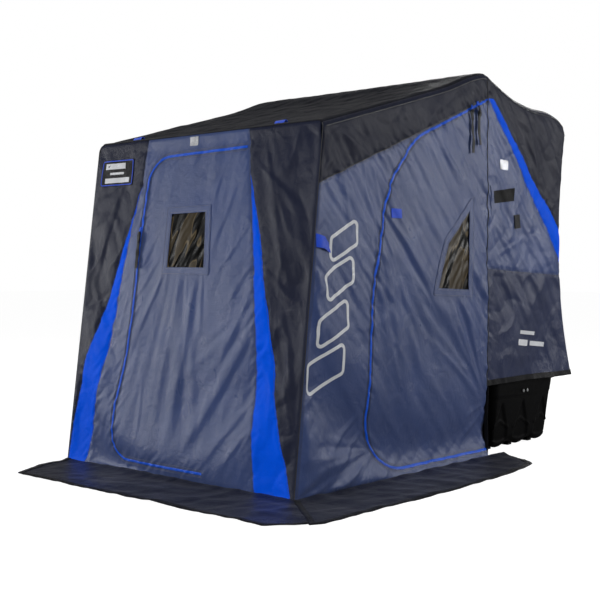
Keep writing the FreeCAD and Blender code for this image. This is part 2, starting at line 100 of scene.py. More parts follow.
def noise(u, v, seed):
    """Smooth noise from about -1 to 1, with features about one unit across."""
    cells = 64
    angles = np.random.RandomState(seed).uniform(0, 2 * math.pi, (cells, cells))
    iu, iv = np.floor(u).astype(int), np.floor(v).astype(int)
    fu, fv = u - iu, v - iv

    def corner(a, b):
        angle = angles[(iu + a) % cells, (iv + b) % cells]
        return np.cos(angle) * (fu - a) + np.sin(angle) * (fv - b)

    su, sv = fu * fu * (3 - 2 * fu), fv * fv * (3 - 2 * fv)
    low = corner(0, 0) * (1 - su) + corner(1, 0) * su
    high = corner(0, 1) * (1 - su) + corner(1, 1) * su
    return 1.6 * (low * (1 - sv) + high * sv)


def streaks(u, v, degrees, length, width, seed, warp=0.35):
    """Long soft folds that run at an angle, and wander."""
    way = math.radians(degrees)
    along = (u * math.cos(way) + v * math.sin(way)) / length
    across = (v * math.cos(way) - u * math.sin(way)) / width
    across = across + warp * noise(along * 1.7, across * 0.35, seed + 1)
    return noise(along, across, seed)


def creases(u, v, size, seed):
    """Crumpled cloth: flat facets between sharp ridges and valleys."""
    bend = 0.35 * noise(u / size * 0.6, v / size * 0.6, seed + 7)
    ridge = 1 - 2.2 * np.abs(noise(u / size + bend, v / size * 0.8 - bend, seed))
    valley = 1 - 2.2 * np.abs(noise(u / size * 0.8 + 9 - bend, v / size + bend, seed + 3))
    return np.clip(ridge, 0, 1) ** 1.6 - 0.8 * np.clip(valley, 0, 1) ** 1.6


def fold(u, v, start, end, width, height):
    """One ridge that widens from start to end, steeper on one side, with a shallow valley beside it."""
    (u0, v0), (u1, v1) = start, end
    length = math.hypot(u1 - u0, v1 - v0)
    way_u, way_v = (u1 - u0) / length, (v1 - v0) / length
    along = ((u - u0) * way_u + (v - v0) * way_v) / length
    across = (v - v0) * way_u - (u - u0) * way_v
    across = across + 0.2 * width * noise(along * 3, 0 * along, int(1000 * abs(u0 + v1)))
    spread = width * (0.4 + 0.6 * np.clip(along, 0, 1))
    across = across / spread * np.where(across > 0, 1.5, 0.8)
    ends = smooth(along, -0.04, 0.2) * (1 - smooth(along, 0.62, 1.04))
    return height * ends * spread / width * (np.exp(-across ** 2) - 0.4 * np.exp(-(across / 2.1) ** 2))


def fan(u, v, centre, toward, spread, reach, lines, slope, seed):
    """Folds that spread from a point, so many lines to the radian, in a sector about a direction."""
    du, dv = u - centre[0], v - centre[1]
    radius = np.hypot(du, dv)
    turn = math.radians(toward)
    angle = np.arctan2(dv * math.cos(turn) - du * math.sin(turn), du * math.cos(turn) + dv * math.sin(turn))
    half = math.radians(spread)
    sector = 1 - smooth(np.abs(angle), 0.6 * half, half)
    shown = sector * smooth(radius, 0.0, 0.1) * (1 - smooth(radius, 0.55 * reach, reach))
    wave = noise(angle * lines + 9, radius * 1.4, seed)
    return shown * radius * slope / (2.0 * lines) * (wave + 0.5 * wave * np.abs(wave))


def path_distance(u, v, path):
    """Distance of every point from a polyline."""
    best = np.full(np.shape(u), 9.0)
    for (u0, v0), (u1, v1) in zip(path[:-1], path[1:]):
        du, dv = u1 - u0, v1 - v0
        t = np.clip(((u - u0) * du + (v - v0) * dv) / (du * du + dv * dv), 0, 1)
        best = np.minimum(best, np.hypot(u - u0 - t * du, v - v0 - t * dv))
    return best


def seams(u, v, paths, seed):
    """The groove and the small puckers beside sewn seams."""
    near = np.min([path_distance(u, v, path) for path in paths], axis=0)
    pucker = 0.0024 * noise(u / 0.026, v / 0.026, seed) * np.exp(-(near / 0.026) ** 2)
    return pucker - 0.003 * np.exp(-(near / 0.01) ** 2)


def new_object(name, points, faces):
    mesh = bpy.data.meshes.new(name)
    mesh.from_pydata(points.tolist(), [], faces)
    made = bpy.data.objects.new(name, mesh)
    bpy.context.scene.collection.objects.link(made)
    return made


def shown_mesh(piece):
    """A copy of the piece's mesh as its modifiers show it."""
    return bpy.data.meshes.new_from_object(piece.evaluated_get(bpy.context.evaluated_depsgraph_get()))


def mesh_points(mesh):
    values = np.empty(len(mesh.vertices) * 3, np.float32)
    mesh.vertices.foreach_get("co", values)
    return values.reshape(-1, 3).astype(float)


def simulated(piece, modifier, held, frames):
    """Where a cloth simulation leaves the piece's points. The held ones stay where they are."""
    group = piece.vertex_groups.new(name="held")
    group.add(np.flatnonzero(held).tolist(), 1.0, "REPLACE")
    modifier.settings.vertex_group_mass = "held"
    modifier.point_cache.frame_start = 1
    modifier.point_cache.frame_end = frames
    for step in range(1, frames + 1):
        bpy.context.scene.frame_set(step)
    result = mesh_points(shown_mesh(piece))
    bpy.context.scene.frame_set(1)
    return result


def draped(width, height, slack, seed, frames=40, spacing=0.025):
    """Simulates cloth a little too large for the frame that holds it. Returns its relief at (u, v)."""
    columns, rows = int(width / spacing), int(height / spacing)
    u, v = np.meshgrid(np.linspace(0, width, columns + 1), np.linspace(0, height, rows + 1))
    held = (u < 1e-6) | (u > width - 1e-6) | (v < 1e-6) | (v > height - 1e-6)
    random = np.random.RandomState(seed)
    waves = zip(random.uniform(2, 9, (14, 2)), random.uniform(0, 2 * math.pi, 14))
    start = sum(0.0012 * np.sin(a * u + 0.6 * b * v + phase) for (a, b), phase in waves)
    start[held] = 0
    points = np.stack([u, start, v], -1).reshape(-1, 3)
    index = np.arange(len(points)).reshape(rows + 1, columns + 1)
    quads = np.stack([index[:-1, :-1], index[:-1, 1:], index[1:, 1:], index[1:, :-1]], -1).reshape(-1, 4)
    cloth = new_object("draped", points, quads.tolist())
    cloth.shape_key_add(name="Basis")
    key = cloth.shape_key_add(name="cut")
    cut = points.copy()
    cut[:, 0] = (cut[:, 0] - width / 2) * slack + width / 2
    key.data.foreach_set("co", cut.astype(np.float32).ravel())
    key.value = 0
    modifier = cloth.modifiers.new("cloth", "CLOTH")
    settings = modifier.settings
    settings.rest_shape_key = key
    settings.quality = 6
    settings.mass = 0.35
    settings.tension_stiffness = settings.compression_stiffness = 20
    settings.shear_stiffness = 8
    settings.bending_stiffness = 40
    settings.tension_damping = settings.compression_damping = 15
    settings.air_damping = 2
    modifier.collision_settings.use_collision = False
    depth = simulated(cloth, modifier, held, frames)[:, 1].reshape(u.shape)
    for _ in range(3):
        padded = np.pad(depth, 1, mode="edge")
        beside = padded[:-2, 1:-1] + padded[2:, 1:-1] + padded[1:-1, :-2] + padded[1:-1, 2:]
        depth = 0.5 * depth + 0.125 * beside
    depth = np.pad(depth - depth.mean(), 2, mode="edge")
    bpy.data.objects.remove(cloth)

    def weights(t):
        """Cubic B-spline weights of the four grid points round a place."""
        return [(1 - t) ** 3 / 6, (3 * t ** 3 - 6 * t ** 2 + 4) / 6,
                (-3 * t ** 3 + 3 * t ** 2 + 3 * t + 1) / 6, t ** 3 / 6]

    def sample(at_u, at_v):
        fu = np.clip(at_u / width, 0, 1) * columns
        fv = np.clip(at_v / height, 0, 1) * rows
        iu, iv = np.minimum(fu.astype(int), columns - 1), np.minimum(fv.astype(int), rows - 1)
        total = 0.0
        for b, weight_v in enumerate(weights(fv - iv)):
            for a, weight_u in enumerate(weights(fu - iu)):
                total = total + weight_v * weight_u * depth[iv + b + 1, iu + a + 1]
        return total
    return sample


def level(u, v):
    return np.zeros(np.shape(u))


# --- surfaces -----------------------------------------------------------------------------
def roof_height(s):
    """Height of the roof at a station, rounded over the ridge."""
    stations = [LEAN, RIDGE, 1.85, REAR_TOP, REAR_TOP + 0.045]
    heights = [FRONT_Z, RIDGE_Z, 1.938, 1.85, 1.785]
    spread = np.linspace(-0.03, 0.03, 7)
    line = np.mean([np.interp(s + d, stations, heights) for d in spread], axis=0)
    ridge_swell = 0.02 * np.exp(-((np.asarray(s) - RIDGE + 0.12) / 0.17) ** 2)
    rear_swell = 0.034 * np.exp(-((np.asarray(s) - REAR_TOP + 0.12) / 0.17) ** 2)
    return line + ridge_swell + rear_swell * smooth(REAR_TOP + 0.08 - s, 0, 0.12)


def half_width(s, z):
    taper = REAR_TAPER * smooth(s, RIDGE - 0.15, REAR_TOP) * (z / 1.85) ** 2
    return HALF_WIDTH - SIDE_INSET * z / FRONT_Z - taper


def corner_station(z):
    return LEAN * z / FRONT_Z


def rear_station(z):
    flare = np.where(np.asarray(z) > WAIST_Z, FLARE_HIGH, FLARE_LOW)
    return WAIST_STATION + flare * ((z - WAIST_Z) / WAIST_SPAN) ** 2


def cap_seam(s):
    start = corner_station(SEAM_FRONT)
    return SEAM_FRONT + (SEAM_RIDGE - SEAM_FRONT) * (s - start) / (RIDGE - start)


def rounded_edge(distance, radius, half_turn=math.pi / 4):
    """How far a rounded edge pulls a point along its face, and into it."""
    reach = radius * math.tan(half_turn)
    turn = half_turn * np.clip(1 - distance / reach, 0, 1)
    along = np.where(distance < reach, reach - radius * np.sin(turn) - distance, 0)
    return along, radius * (1 - np.cos(turn))


def front_surface(x, z, w=0.0):
    gap = half_width(corner_station(z), z) - np.abs(x)
    corner, corner_drop = rounded_edge(gap, CORNER_RADIUS)
    brow, brow_drop = rounded_edge(FRONT_Z - z, BROW_RADIUS, BROW_TURN)
    eave, eave_drop = rounded_edge(gap, EAVE_RADIUS)
    at_top = smooth(z, FRONT_Z - 0.14, FRONT_Z)
    across = np.sign(x) * (np.abs(x) - corner - eave * at_top)
    y = FRONT_Y + corner_station(z) + corner_drop + brow_drop - w
    return np.stack([across, y, z - brow - eave_drop * at_top], -1)


def side_surface(s, z, w=0.0):
    corner, corner_drop = rounded_edge(s - corner_station(z), CORNER_RADIUS)
    eave, eave_drop = rounded_edge(roof_height(s) - z, EAVE_RADIUS)
    rear, rear_drop = rounded_edge(rear_station(z) - s, REAR_RADIUS)
    x = half_width(s, z) - corner_drop - eave_drop - rear_drop + w
    return np.stack([x, FRONT_Y + s + corner - rear, z - eave], -1)


def left_surface(s, z, w=0.0):
    return side_surface(s, z, w) * np.array([-1, 1, 1])


def roof_surface(x, s, w=0.0):
    top = roof_height(s)
    eave, eave_drop = rounded_edge(half_width(s, top) - np.abs(x), EAVE_RADIUS)
    brow, brow_drop = rounded_edge(s - LEAN, BROW_RADIUS, BROW_TURN)
    across = np.sign(x) * (np.abs(x) - eave)
    return np.stack([across, FRONT_Y + s + brow, top - eave_drop - brow_drop + w], -1)


def rear_surface(x, z, w=0.0):
    corner, corner_drop = rounded_edge(half_width(rear_station(z), z) - np.abs(x), REAR_RADIUS)
    y = FRONT_Y + rear_station(z) - corner_drop + w
    return np.stack([np.sign(x) * (np.abs(x) - corner), y, z + 0 * x], -1)


def ice_surface(x, s, w=0.0):
    return np.stack([x + 0 * w, FRONT_Y + s + 0 * w, w + 0 * x], -1)


# --- outlines -----------------------------------------------------------------------------
def rounded(points, pieces=10):
    """Corner points (u, v) with an arc at each corner that has a third value, its radius."""
    result = []
    for i, here in enumerate(points):
        at = np.array(here[:2], float)
        if len(here) < 3:
            result.append(tuple(at))
            continue
        back = np.array(points[i - 1][:2]) - at
        ahead = np.array(points[(i + 1) % len(points)][:2]) - at
        back, ahead = back / np.linalg.norm(back), ahead / np.linalg.norm(ahead)
        half = math.acos(np.clip(back @ ahead, -1, 1)) / 2
        middle = (back + ahead) / np.linalg.norm(back + ahead)
        centre = at + middle * here[2] / math.sin(half)
        first = at + back * here[2] / math.tan(half) - centre
        last = at + ahead * here[2] / math.tan(half) - centre
        sweep = math.pi - 2 * half
        for k in range(pieces + 1):
            t = k / pieces
            mix = (math.sin((1 - t) * sweep) * first + math.sin(t * sweep) * last) / math.sin(sweep)
            result.append(tuple(centre + mix))
    return result


def divided(path, step, closed=False):
    """The polyline with points no farther apart than step."""
    ends = path[1:] + path[:1] if closed else path[1:]
    result = []
    for (u0, v0), (u1, v1) in zip(path, ends):
        count = max(1, math.ceil(math.hypot(u1 - u0, v1 - v0) / step - 1e-6))
        result += [(u0 + (u1 - u0) * k / count, v0 + (v1 - v0) * k / count) for k in range(count)]
    return result if closed else result + [path[-1]]


def inside(u, v, loop):
    u, v = np.asarray(u), np.asarray(v)
    found = np.zeros(u.shape, bool)
    for (u0, v0), (u1, v1) in zip(loop, loop[1:] + loop[:1]):
        if v0 != v1:
            crosses = (v0 > v) != (v1 > v)
            found ^= crosses & (u < (u1 - u0) * (v - v0) / (v1 - v0) + u0)
    return found


def moved_out(points, distance):
    """A closed outline of plain corner points, moved outwards."""
    result = []
    sign = 1 if signed_area(points) > 0 else -1
    for i, here in enumerate(points):
        at = np.array(here[:2], float)
        back = at - np.array(points[i - 1][:2])
        ahead = np.array(points[(i + 1) % len(points)][:2]) - at
        normals = [np.array([way[1], -way[0]]) / np.linalg.norm(way) * sign for way in (back, ahead)]
        middle = (normals[0] + normals[1]) / np.linalg.norm(normals[0] + normals[1])
        result.append(tuple(at + middle * distance / (middle @ normals[0])) + tuple(here[2:]))
    return result


def signed_area(points):
    u, v = np.array([p[:2] for p in points], float).T
    return 0.5 * np.sum(u * np.roll(v, -1) - v * np.roll(u, -1))


def cut_size(loop):
    """Width and length of the smallest rectangle along the outline's own axes, and its area."""
    points = np.array(divided(loop, 0.02, True))
    centred = points - points.mean(0)
    _, axes = np.linalg.eigh(centred.T @ centred)
    turned = np.sort(np.ptp(centred @ axes, axis=0))
    plain = np.sort(np.ptp(points, axis=0))
    best = turned if turned.prod() < plain.prod() else plain
    return (float(best[0]), float(best[1])), abs(float(signed_area(loop)))


# --- pieces -------------------------------------------------------------------------------
STITCH_PITCH = 0.008
STITCH_LENGTH = 0.0052


def new_piece(name, points, faces, material, sharp=50):
    piece = new_object(name, points, faces)
    mesh = piece.data
    mesh.validate()
    work = bmesh.new()
    work.from_mesh(mesh)
    bmesh.ops.recalc_face_normals(work, faces=work.faces)
    work.to_mesh(mesh)
    work.free()
    mesh.shade_smooth()
    mesh.set_sharp_from_angle(angle=math.radians(sharp))
    mesh.materials.append(material)
    return piece


def joined(parts):
    """Meshes given as (points, faces) in one."""
    points, faces, count = [], [], 0
    for part_points, part_faces in parts:
        points.append(part_points)
        faces += [[i + count for i in face] for face in part_faces]
        count += len(part_points)
    return np.concatenate(points), faces


SLIVER = 1e-7                          # twice the area of a triangle too thin to judge a region by


def within(flat, triangles, rims, loop, holes):
    """The triangles inside the outline and outside its holes, found region by region between the rims."""
    count = len(flat)
    sides = np.sort(np.concatenate([triangles[:, pair] for pair in ([0, 1], [1, 2], [2, 0])]), axis=1)
    keys = sides[:, 0] * count + sides[:, 1]
    owners = np.tile(np.arange(len(triangles)), 3)
    order = np.argsort(keys, kind="stable")
    keys, owners = keys[order], owners[order]
    rim_pairs = np.sort(np.array([pair for rim in rims for pair in zip(rim, rim[1:] + rim[:1])]), axis=1)
    open_side = (keys[1:] == keys[:-1]) & ~np.isin(keys[1:], rim_pairs[:, 0] * count + rim_pairs[:, 1])
    region = list(range(len(triangles)))

    def root(i):
        while region[i] != i:
            region[i] = region[region[i]]
            i = region[i]
        return i

    for first, second in zip(owners[:-1][open_side].tolist(), owners[1:][open_side].tolist()):
        region[root(first)] = root(second)
    region = np.array([root(i) for i in range(len(triangles))])
    corners = flat[triangles]
    first, second = corners[:, 1] - corners[:, 0], corners[:, 2] - corners[:, 0]
    size = np.abs(first[:, 0] * second[:, 1] - first[:, 1] * second[:, 0])
    kept = np.zeros(len(triangles), bool)
    for label in np.unique(region):
        members = np.flatnonzero(region == label)
        largest = members[np.argmax(size[members])]
        u, v = corners[largest].mean(0)
        if size[largest] > SLIVER and inside(u, v, loop) and not any(inside(u, v, hole) for hole in holes):
            kept[members] = True
    return triangles[kept]


def triangulated(loop, holes, step):
    """Even triangles inside a closed outline: points (u, v), triangles, and rings of edge points."""
    rings = [divided(loop, step, True)] + [divided(hole, step, True) for hole in holes]
    edge = [p for ring in rings for p in ring]
    constraints, rims, start = [], [], 0
    for ring in rings:
        rim = list(range(start, start + len(ring)))
        rims.append(rim)
        constraints += list(zip(rim, rim[1:] + rim[:1]))
        start += len(ring)
    u_low, v_low = np.min(loop, axis=0)
    u_high, v_high = np.max(loop, axis=0)
    v, u = np.meshgrid(np.arange(v_low, v_high, step * 0.866), np.arange(u_low, u_high, step), indexing="ij")
    u = u + (np.arange(u.shape[0]) % 2)[:, None] * step / 2
    u, v = u.ravel(), v.ravel()
    keep = inside(u, v, loop)
    for hole in holes:
        keep &= ~inside(u, v, hole)
    for ring in rings:
        near = path_distance(u[keep], v[keep], ring + ring[:1])
        keep[keep] = near > step * 0.55
    points = edge + list(zip(u[keep].tolist(), v[keep].tolist()))
    found = delaunay_2d_cdt([Vector(p) for p in points], constraints, [], 0, 1e-7)
    flat = np.array([tuple(p) for p in found[0]])
    place = {old: new for new, olds in enumerate(found[3]) for old in olds}
    rims = [[place[i] for i in rim] for rim in rims]
    return flat, within(flat, np.array(found[2]), rims, loop, holes), rims


def sheet_mesh(loop, surface, relief, step, holes=(), thickness=CLOTH, lift=0.0):
    flat, triangles, rims = triangulated(loop, holes, step)
    u, v = flat.T
    w = relief(u, v) + lift
    points = np.concatenate([surface(u, v, w), surface(u, v, w - thickness)])
    count = len(flat)
    faces = triangles.tolist() + (triangles[:, ::-1] + count).tolist()
    for rim in rims:
        faces += [[a, a + count, b + count, b] for a, b in zip(rim, rim[1:] + rim[:1])]
    return points, faces


def directions(line, closed=False):
    """Unit vectors along a flat line and to its right, at each of its points."""
    way = np.roll(line, -1, axis=0) - np.roll(line, 1, axis=0) if closed else np.gradient(line, axis=0)
    way /= np.linalg.norm(way, axis=1)[:, None]
    return way, np.stack([way[:, 1], -way[:, 0]], -1)


def ring_mesh(rings, closed=False):
    """A form through rings of equally many points, capped at its ends unless the rings form a loop."""
    count, size = len(rings), len(rings[0])
    faces = []
    for i in range(count if closed else count - 1):
        here, there = i * size, (i + 1) % count * size
        faces += [[here + k, here + (k + 1) % size, there + (k + 1) % size, there + k] for k in range(size)]
    if not closed:
        last = (count - 1) * size
        faces += [list(range(size))[::-1], list(range(last, last + size))]
    return np.concatenate(rings), faces


def strip_mesh(path, surface, relief, profile, closed=False, teeth=0.0):
    """A strip along a flat path: profile is a closed loop of (distance to the right, height)."""
    line = np.array(path, float)
    _, right = directions(line, closed)
    edges = []
    for across, height in profile:
        at = line + right * across
        w = relief(at[:, 0], at[:, 1]) + height
        if teeth and height > teeth:
            w = w - teeth * 0.4 * (np.arange(len(line)) % 2)
        edges.append(surface(at[:, 0], at[:, 1], w))
    return ring_mesh(np.stack(edges, 1), closed)


def round_profile(radius, height, pieces=8):
    turns = [2 * math.pi * k / pieces for k in range(pieces)]
    return [(radius * math.cos(t), height + radius * math.sin(t)) for t in turns]


def stitch_mesh(path, surface, relief, offsets, lift):
    """Rows of stitches along a seam, offset to its right, each one a ridge with four slopes."""
    parts = []
    line = np.array(divided(path, STITCH_PITCH), float)
    way, right = directions(line)
    corners = [(-0.5, -0.0007, 0.0002), (-0.5, 0.0007, 0.0002), (0.5, 0.0007, 0.0002),
               (0.5, -0.0007, 0.0002), (-0.3, 0.0, 0.0014), (0.3, 0.0, 0.0014)]
    sides = [[0, 1, 4], [1, 2, 5, 4], [2, 3, 5], [3, 0, 4, 5], [3, 2, 1, 0]]
    for offset in offsets:
        middle = line + right * offset
        rows = []
        for along, across, height in corners:
            at = middle + way * along * STITCH_LENGTH + right * across
            rows.append(surface(at[:, 0], at[:, 1], relief(at[:, 0], at[:, 1]) + lift + height))
        points = np.stack(rows, 1).reshape(-1, 3)
        faces = [[6 * i + k for k in side] for i in range(len(line)) for side in sides]
        parts.append((points, faces))
    return joined(parts)


def set_down(piece, body, nodes=(), squash=None):
    """Rides on its body and stands for its CAD nodes, which are hidden; a piece given a squash gets a mesh
    of its own.
    """
    if squash:
        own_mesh(piece)
    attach(piece, body)
    if nodes:
        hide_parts(*nodes)


# --- materials ----------------------------------------------------------------------------
def rgb(red, green, blue):
    """A screen colour, 0 to 255, as the linear values that shaders use."""
    shares = [c / 255 for c in (red, green, blue)]
    return tuple(c / 12.92 if c < 0.04045 else ((c + 0.055) / 1.055) ** 2.4 for c in shares) + (1.0,)


def node(tree, kind, sockets=None, **settings):
    made = tree.nodes.new("ShaderNode" + kind)
    for key, value in settings.items():
        setattr(made, key, value)
    for key, value in (sockets or {}).items():
        if isinstance(value, bpy.types.NodeSocket):
            tree.links.new(value, made.inputs[key])
        else:
            made.inputs[key].default_value = value
    return made


def calculate(tree, operation, first, second=0.0):
    return node(tree, "Math", {0: first, 1: second}, operation=operation).outputs[0]


def noise_value(tree, place, scale, detail=3.0, distortion=0.0, roughness=0.55):
    sockets = {"Vector": place, "Scale": scale, "Detail": detail, "Distortion": distortion,
               "Roughness": roughness}
    return node(tree, "TexNoise", sockets).outputs["Fac"]


def spread_value(tree, value, low, high, start=0.0, end=1.0):
    sockets = {"Value": value, "From Min": low, "From Max": high, "To Min": start, "To Max": end}
    return node(tree, "MapRange", sockets).outputs["Result"]


def mixed(tree, amount, first, second):
    return node(tree, "Mix", {0: amount, 6: first, 7: second}, data_type="RGBA").outputs[2]


def bump(tree, height, distance, below=None, strength=1.0):
    sockets = {"Height": height, "Distance": distance, "Strength": strength}
    if below is not None:
        sockets["Normal"] = below
    return node(tree, "Bump", sockets).outputs["Normal"]


def new_material(name, colour, roughness, **fixed):
    material = bpy.data.materials.new(name)
    material.use_nodes = True
    material.diffuse_color = colour
    tree = material.node_tree
    shader = tree.nodes["Principled BSDF"]
    shader.inputs["Base Color"].default_value = colour
    shader.inputs["Roughness"].default_value = roughness
    for key, value in fixed.items():
        shader.inputs[key.replace("_", " ")].default_value = value
    place = node(tree, "TexCoord").outputs["Object"]
    return material, tree, shader, place


def link(tree, value, shader, socket):
    tree.links.new(value, shader.inputs[socket])


def scaled(colour, factor):
    return tuple(c * factor for c in colour[:3]) + (1.0,)


def weave_value(tree, place, thread):
    """Threads across each other, on cloth that faces any of the three ways."""
    axes = node(tree, "SeparateXYZ", {0: place})
    turn = 2 * math.pi / thread
    waves = [calculate(tree, "SINE", calculate(tree, "MULTIPLY", axes.outputs[k], turn)) for k in range(3)]
    return calculate(tree, "ADD", calculate(tree, "ADD", waves[0], waves[1]), waves[2])


def fabric(name, colour, roughness=0.33, sheen=0.06, thread=0.0016, wrinkle=0.0026, fade=1.12, dust=0.06,
           gloss_level=0.27):
    """Coated polyester: fine weave, soft small wrinkles, patchy gloss, a little dust low down."""
    material, tree, shader, place = new_material(
        name, colour, roughness, Sheen_Weight=sheen, Sheen_Roughness=0.35, Specular_IOR_Level=gloss_level)
    clouds = noise_value(tree, place, 2.6, 4.0, 0.4)
    tint = mixed(tree, spread_value(tree, clouds, 0.35, 0.68), scaled(colour, 0.9), scaled(colour, fade))
    flecks = noise_value(tree, place, 420.0, 2.0)
    tint = mixed(tree, spread_value(tree, flecks, 0.3, 0.75, 0.0, 0.3), tint, scaled(colour, 1.35))
    height = node(tree, "SeparateXYZ", {0: place}).outputs[2]
    scuffs = spread_value(tree, noise_value(tree, place, 9.0, 6.0, 0.8, 0.7), 0.48, 0.75)
    low = spread_value(tree, height, 0.02, 0.4, 1.0, 0.0)
    dusty = calculate(tree, "MULTIPLY", calculate(tree, "MULTIPLY", scuffs, low), dust)
    link(tree, mixed(tree, dusty, tint, rgb(150, 148, 144)), shader, "Base Color")
    gloss = noise_value(tree, place, 5.5, 3.0, 0.6)
    link(tree, spread_value(tree, gloss, 0.3, 0.7, roughness - 0.06, roughness + 0.08), shader, "Roughness")
    soft = noise_value(tree, place, 16.0, 4.0, 1.1, 0.5)
    sharp = noise_value(tree, place, 55.0, 3.0, 0.8, 0.6)
    normal = bump(tree, soft, wrinkle)
    normal = bump(tree, sharp, wrinkle * 0.2, normal)
    normal = bump(tree, weave_value(tree, place, thread), 0.00005, normal)
    link(tree, normal, shader, "Normal")
    return material


def vinyl(name):
    """Dark window vinyl: glossy, with slanting wrinkles, and tan reflections painted into its colour."""
    colour = rgb(7, 7, 8)
    material, tree, shader, place = new_material(name, colour, 0.28, Specular_IOR_Level=0.07, Alpha=0.97)
    axes = node(tree, "SeparateXYZ", {0: place}).outputs
    sideways = calculate(tree, "ADD", axes[0], axes[1])
    slant = math.radians(64)
    across = calculate(tree, "SUBTRACT", calculate(tree, "MULTIPLY", sideways, math.sin(slant) * 17),
                       calculate(tree, "MULTIPLY", axes[2], math.cos(slant) * 17))
    along = calculate(tree, "ADD", calculate(tree, "MULTIPLY", sideways, math.cos(slant) * 4),
                      calculate(tree, "MULTIPLY", axes[2], math.sin(slant) * 4))
    turned = node(tree, "CombineXYZ", {0: along, 1: across}).outputs[0]
    streak = noise_value(tree, turned, 1.0, 1.0, 0.9, 0.4)
    # painted reflection: tan edges along the streaks and a lighter fill inside them, mixed into the vinyl's
    # colour
    rim = calculate(tree, "ABSOLUTE", calculate(tree, "SUBTRACT", streak, 0.56))
    tan = spread_value(tree, rim, 0.0, 0.035, 1.0, 0.0)
    inner = spread_value(tree, streak, 0.56, 0.6, 0.0, 0.35)
    painted_reflection = calculate(tree, "MAXIMUM", tan, inner)
    link(tree, mixed(tree, painted_reflection, colour, rgb(112, 98, 74)), shader, "Base Color")
    link(tree, spread_value(tree, streak, 0.4, 0.7, 0.24, 0.36), shader, "Roughness")
    link(tree, bump(tree, streak, 0.003), shader, "Normal")
    return material


def plastic(name, colour, roughness=0.42, grain=900.0, gloss_level=0.3):
    material, tree, shader, place = new_material(name, colour, roughness, Specular_IOR_Level=gloss_level)
    scuffs = noise_value(tree, place, 14.0, 8.0, 1.4, 0.72)
    worn = spread_value(tree, scuffs, 0.56, 0.74, 0.0, 0.5)
    link(tree, mixed(tree, worn, colour, scaled(colour, 2.4)), shader, "Base Color")
    link(tree, spread_value(tree, scuffs, 0.3, 0.7, roughness - 0.1, roughness + 0.14), shader, "Roughness")
    link(tree, bump(tree, noise_value(tree, place, grain, 2.0), 0.0004), shader, "Normal")
    return material


def metal(name, colour, roughness, stretch=(1.0, 1.0, 1.0)):
    material, tree, shader, place = new_material(name, colour, roughness, Metallic=1.0)
    turned = node(tree, "Mapping", {"Vector": place, "Scale": stretch}).outputs[0]
    brushed = noise_value(tree, turned, 60.0, 5.0, 0.2, 0.6)
    spots = noise_value(tree, place, 26.0, 6.0, 0.9, 0.65)
    dull = spread_value(tree, spots, 0.4, 0.72)
    link(tree, mixed(tree, dull, colour, scaled(colour, 0.62)), shader, "Base Color")
    polish = spread_value(tree, brushed, 0.3, 0.7, roughness - 0.09, roughness + 0.13)
    link(tree, polish, shader, "Roughness")
    link(tree, bump(tree, brushed, 0.0003), shader, "Normal")
    return material


def webbing(name, colour, roughness=0.6, rib=0.0032):
    material, tree, shader, place = new_material(
        name, colour, roughness, Sheen_Weight=0.35, Sheen_Roughness=0.4)
    height = node(tree, "SeparateXYZ", {0: place}).outputs[2]
    ribs = calculate(tree, "SINE", calculate(tree, "MULTIPLY", height, 2 * math.pi / rib))
    clouds = noise_value(tree, place, 60.0, 3.0)
    link(tree, mixed(tree, clouds, scaled(colour, 0.8), scaled(colour, 1.25)), shader, "Base Color")
    grain = bump(tree, noise_value(tree, place, 400.0, 2.0), 0.0004)
    link(tree, bump(tree, ribs, 0.0003, grain), shader, "Normal")
    return material


def reflective(name):
    colour = rgb(176, 178, 182)
    material, tree, shader, place = new_material(name, colour, 0.3, Metallic=0.35, Specular_IOR_Level=0.7)
    cells = node(tree, "TexVoronoi", {"Vector": place, "Scale": 260.0}).outputs["Distance"]
    bright = spread_value(tree, cells, 0.1, 0.6)
    link(tree, mixed(tree, bright, scaled(colour, 1.2), scaled(colour, 0.7)), shader, "Base Color")
    link(tree, bump(tree, cells, 0.0005), shader, "Normal")
    return material


def floor_finish():
    """A white sweep: nearly white to the camera, with a soft shadow, and with little light for the cloth."""
    colour = rgb(150, 150, 150)
    material, tree, shader, place = new_material(
        "floor", colour, 0.8, Specular_IOR_Level=0.0, Emission_Color=(1.0, 1.0, 1.0, 1.0))
    clouds = noise_value(tree, place, 1.2, 2.0)
    link(tree, mixed(tree, clouds, scaled(colour, 0.98), colour), shader, "Base Color")
    seen = node(tree, "LightPath").outputs["Is Camera Ray"]
    link(tree, spread_value(tree, seen, 0.0, 1.0, 0.0, 0.955), shader, "Emission Strength")
    return material


GREY = fabric("grey_cloth", rgb(62, 78, 124))
# painted shade: a darker copy of the grey cloth, for the lower rear side panels
SHADED_GREY = fabric("shaded_grey_cloth", rgb(46, 54, 84), gloss_level=0.18)
CHARCOAL = fabric("charcoal_cloth", rgb(33, 37, 56), wrinkle=0.0032, gloss_level=0.12)
ROOF = fabric("roof_cloth", rgb(17, 18, 28), roughness=0.44, gloss_level=0.04)
BLACK = fabric("black_cloth", rgb(30, 33, 50), roughness=0.4, gloss_level=0.1)
BLUE = fabric("blue_cloth", rgb(0, 92, 248), roughness=0.42, sheen=0.0, fade=1.08, dust=0.03,
              gloss_level=0.03)
HEM = fabric("hem_cloth", rgb(14, 14, 18), roughness=0.45, gloss_level=0.14)
SKIRT = fabric("skirt_cloth", rgb(14, 19, 40), roughness=0.38, wrinkle=0.0036, dust=0.08)
SEAT_CLOTH = fabric("seat_cloth", rgb(34, 36, 42), roughness=0.5, sheen=0.25, thread=0.0026)
MESH_CLOTH = fabric("mesh_cloth", rgb(14, 14, 15), roughness=0.6, thread=0.003, gloss_level=0.1)
WINDOW = vinyl("window_vinyl")
ZIP_BLUE = plastic("zip_blue", rgb(22, 96, 232), 0.34, 1400.0)
PIPING = webbing("piping_cord", rgb(34, 34, 36), 0.5)
THREAD = webbing("thread", rgb(108, 112, 122), 0.55, 0.0012)
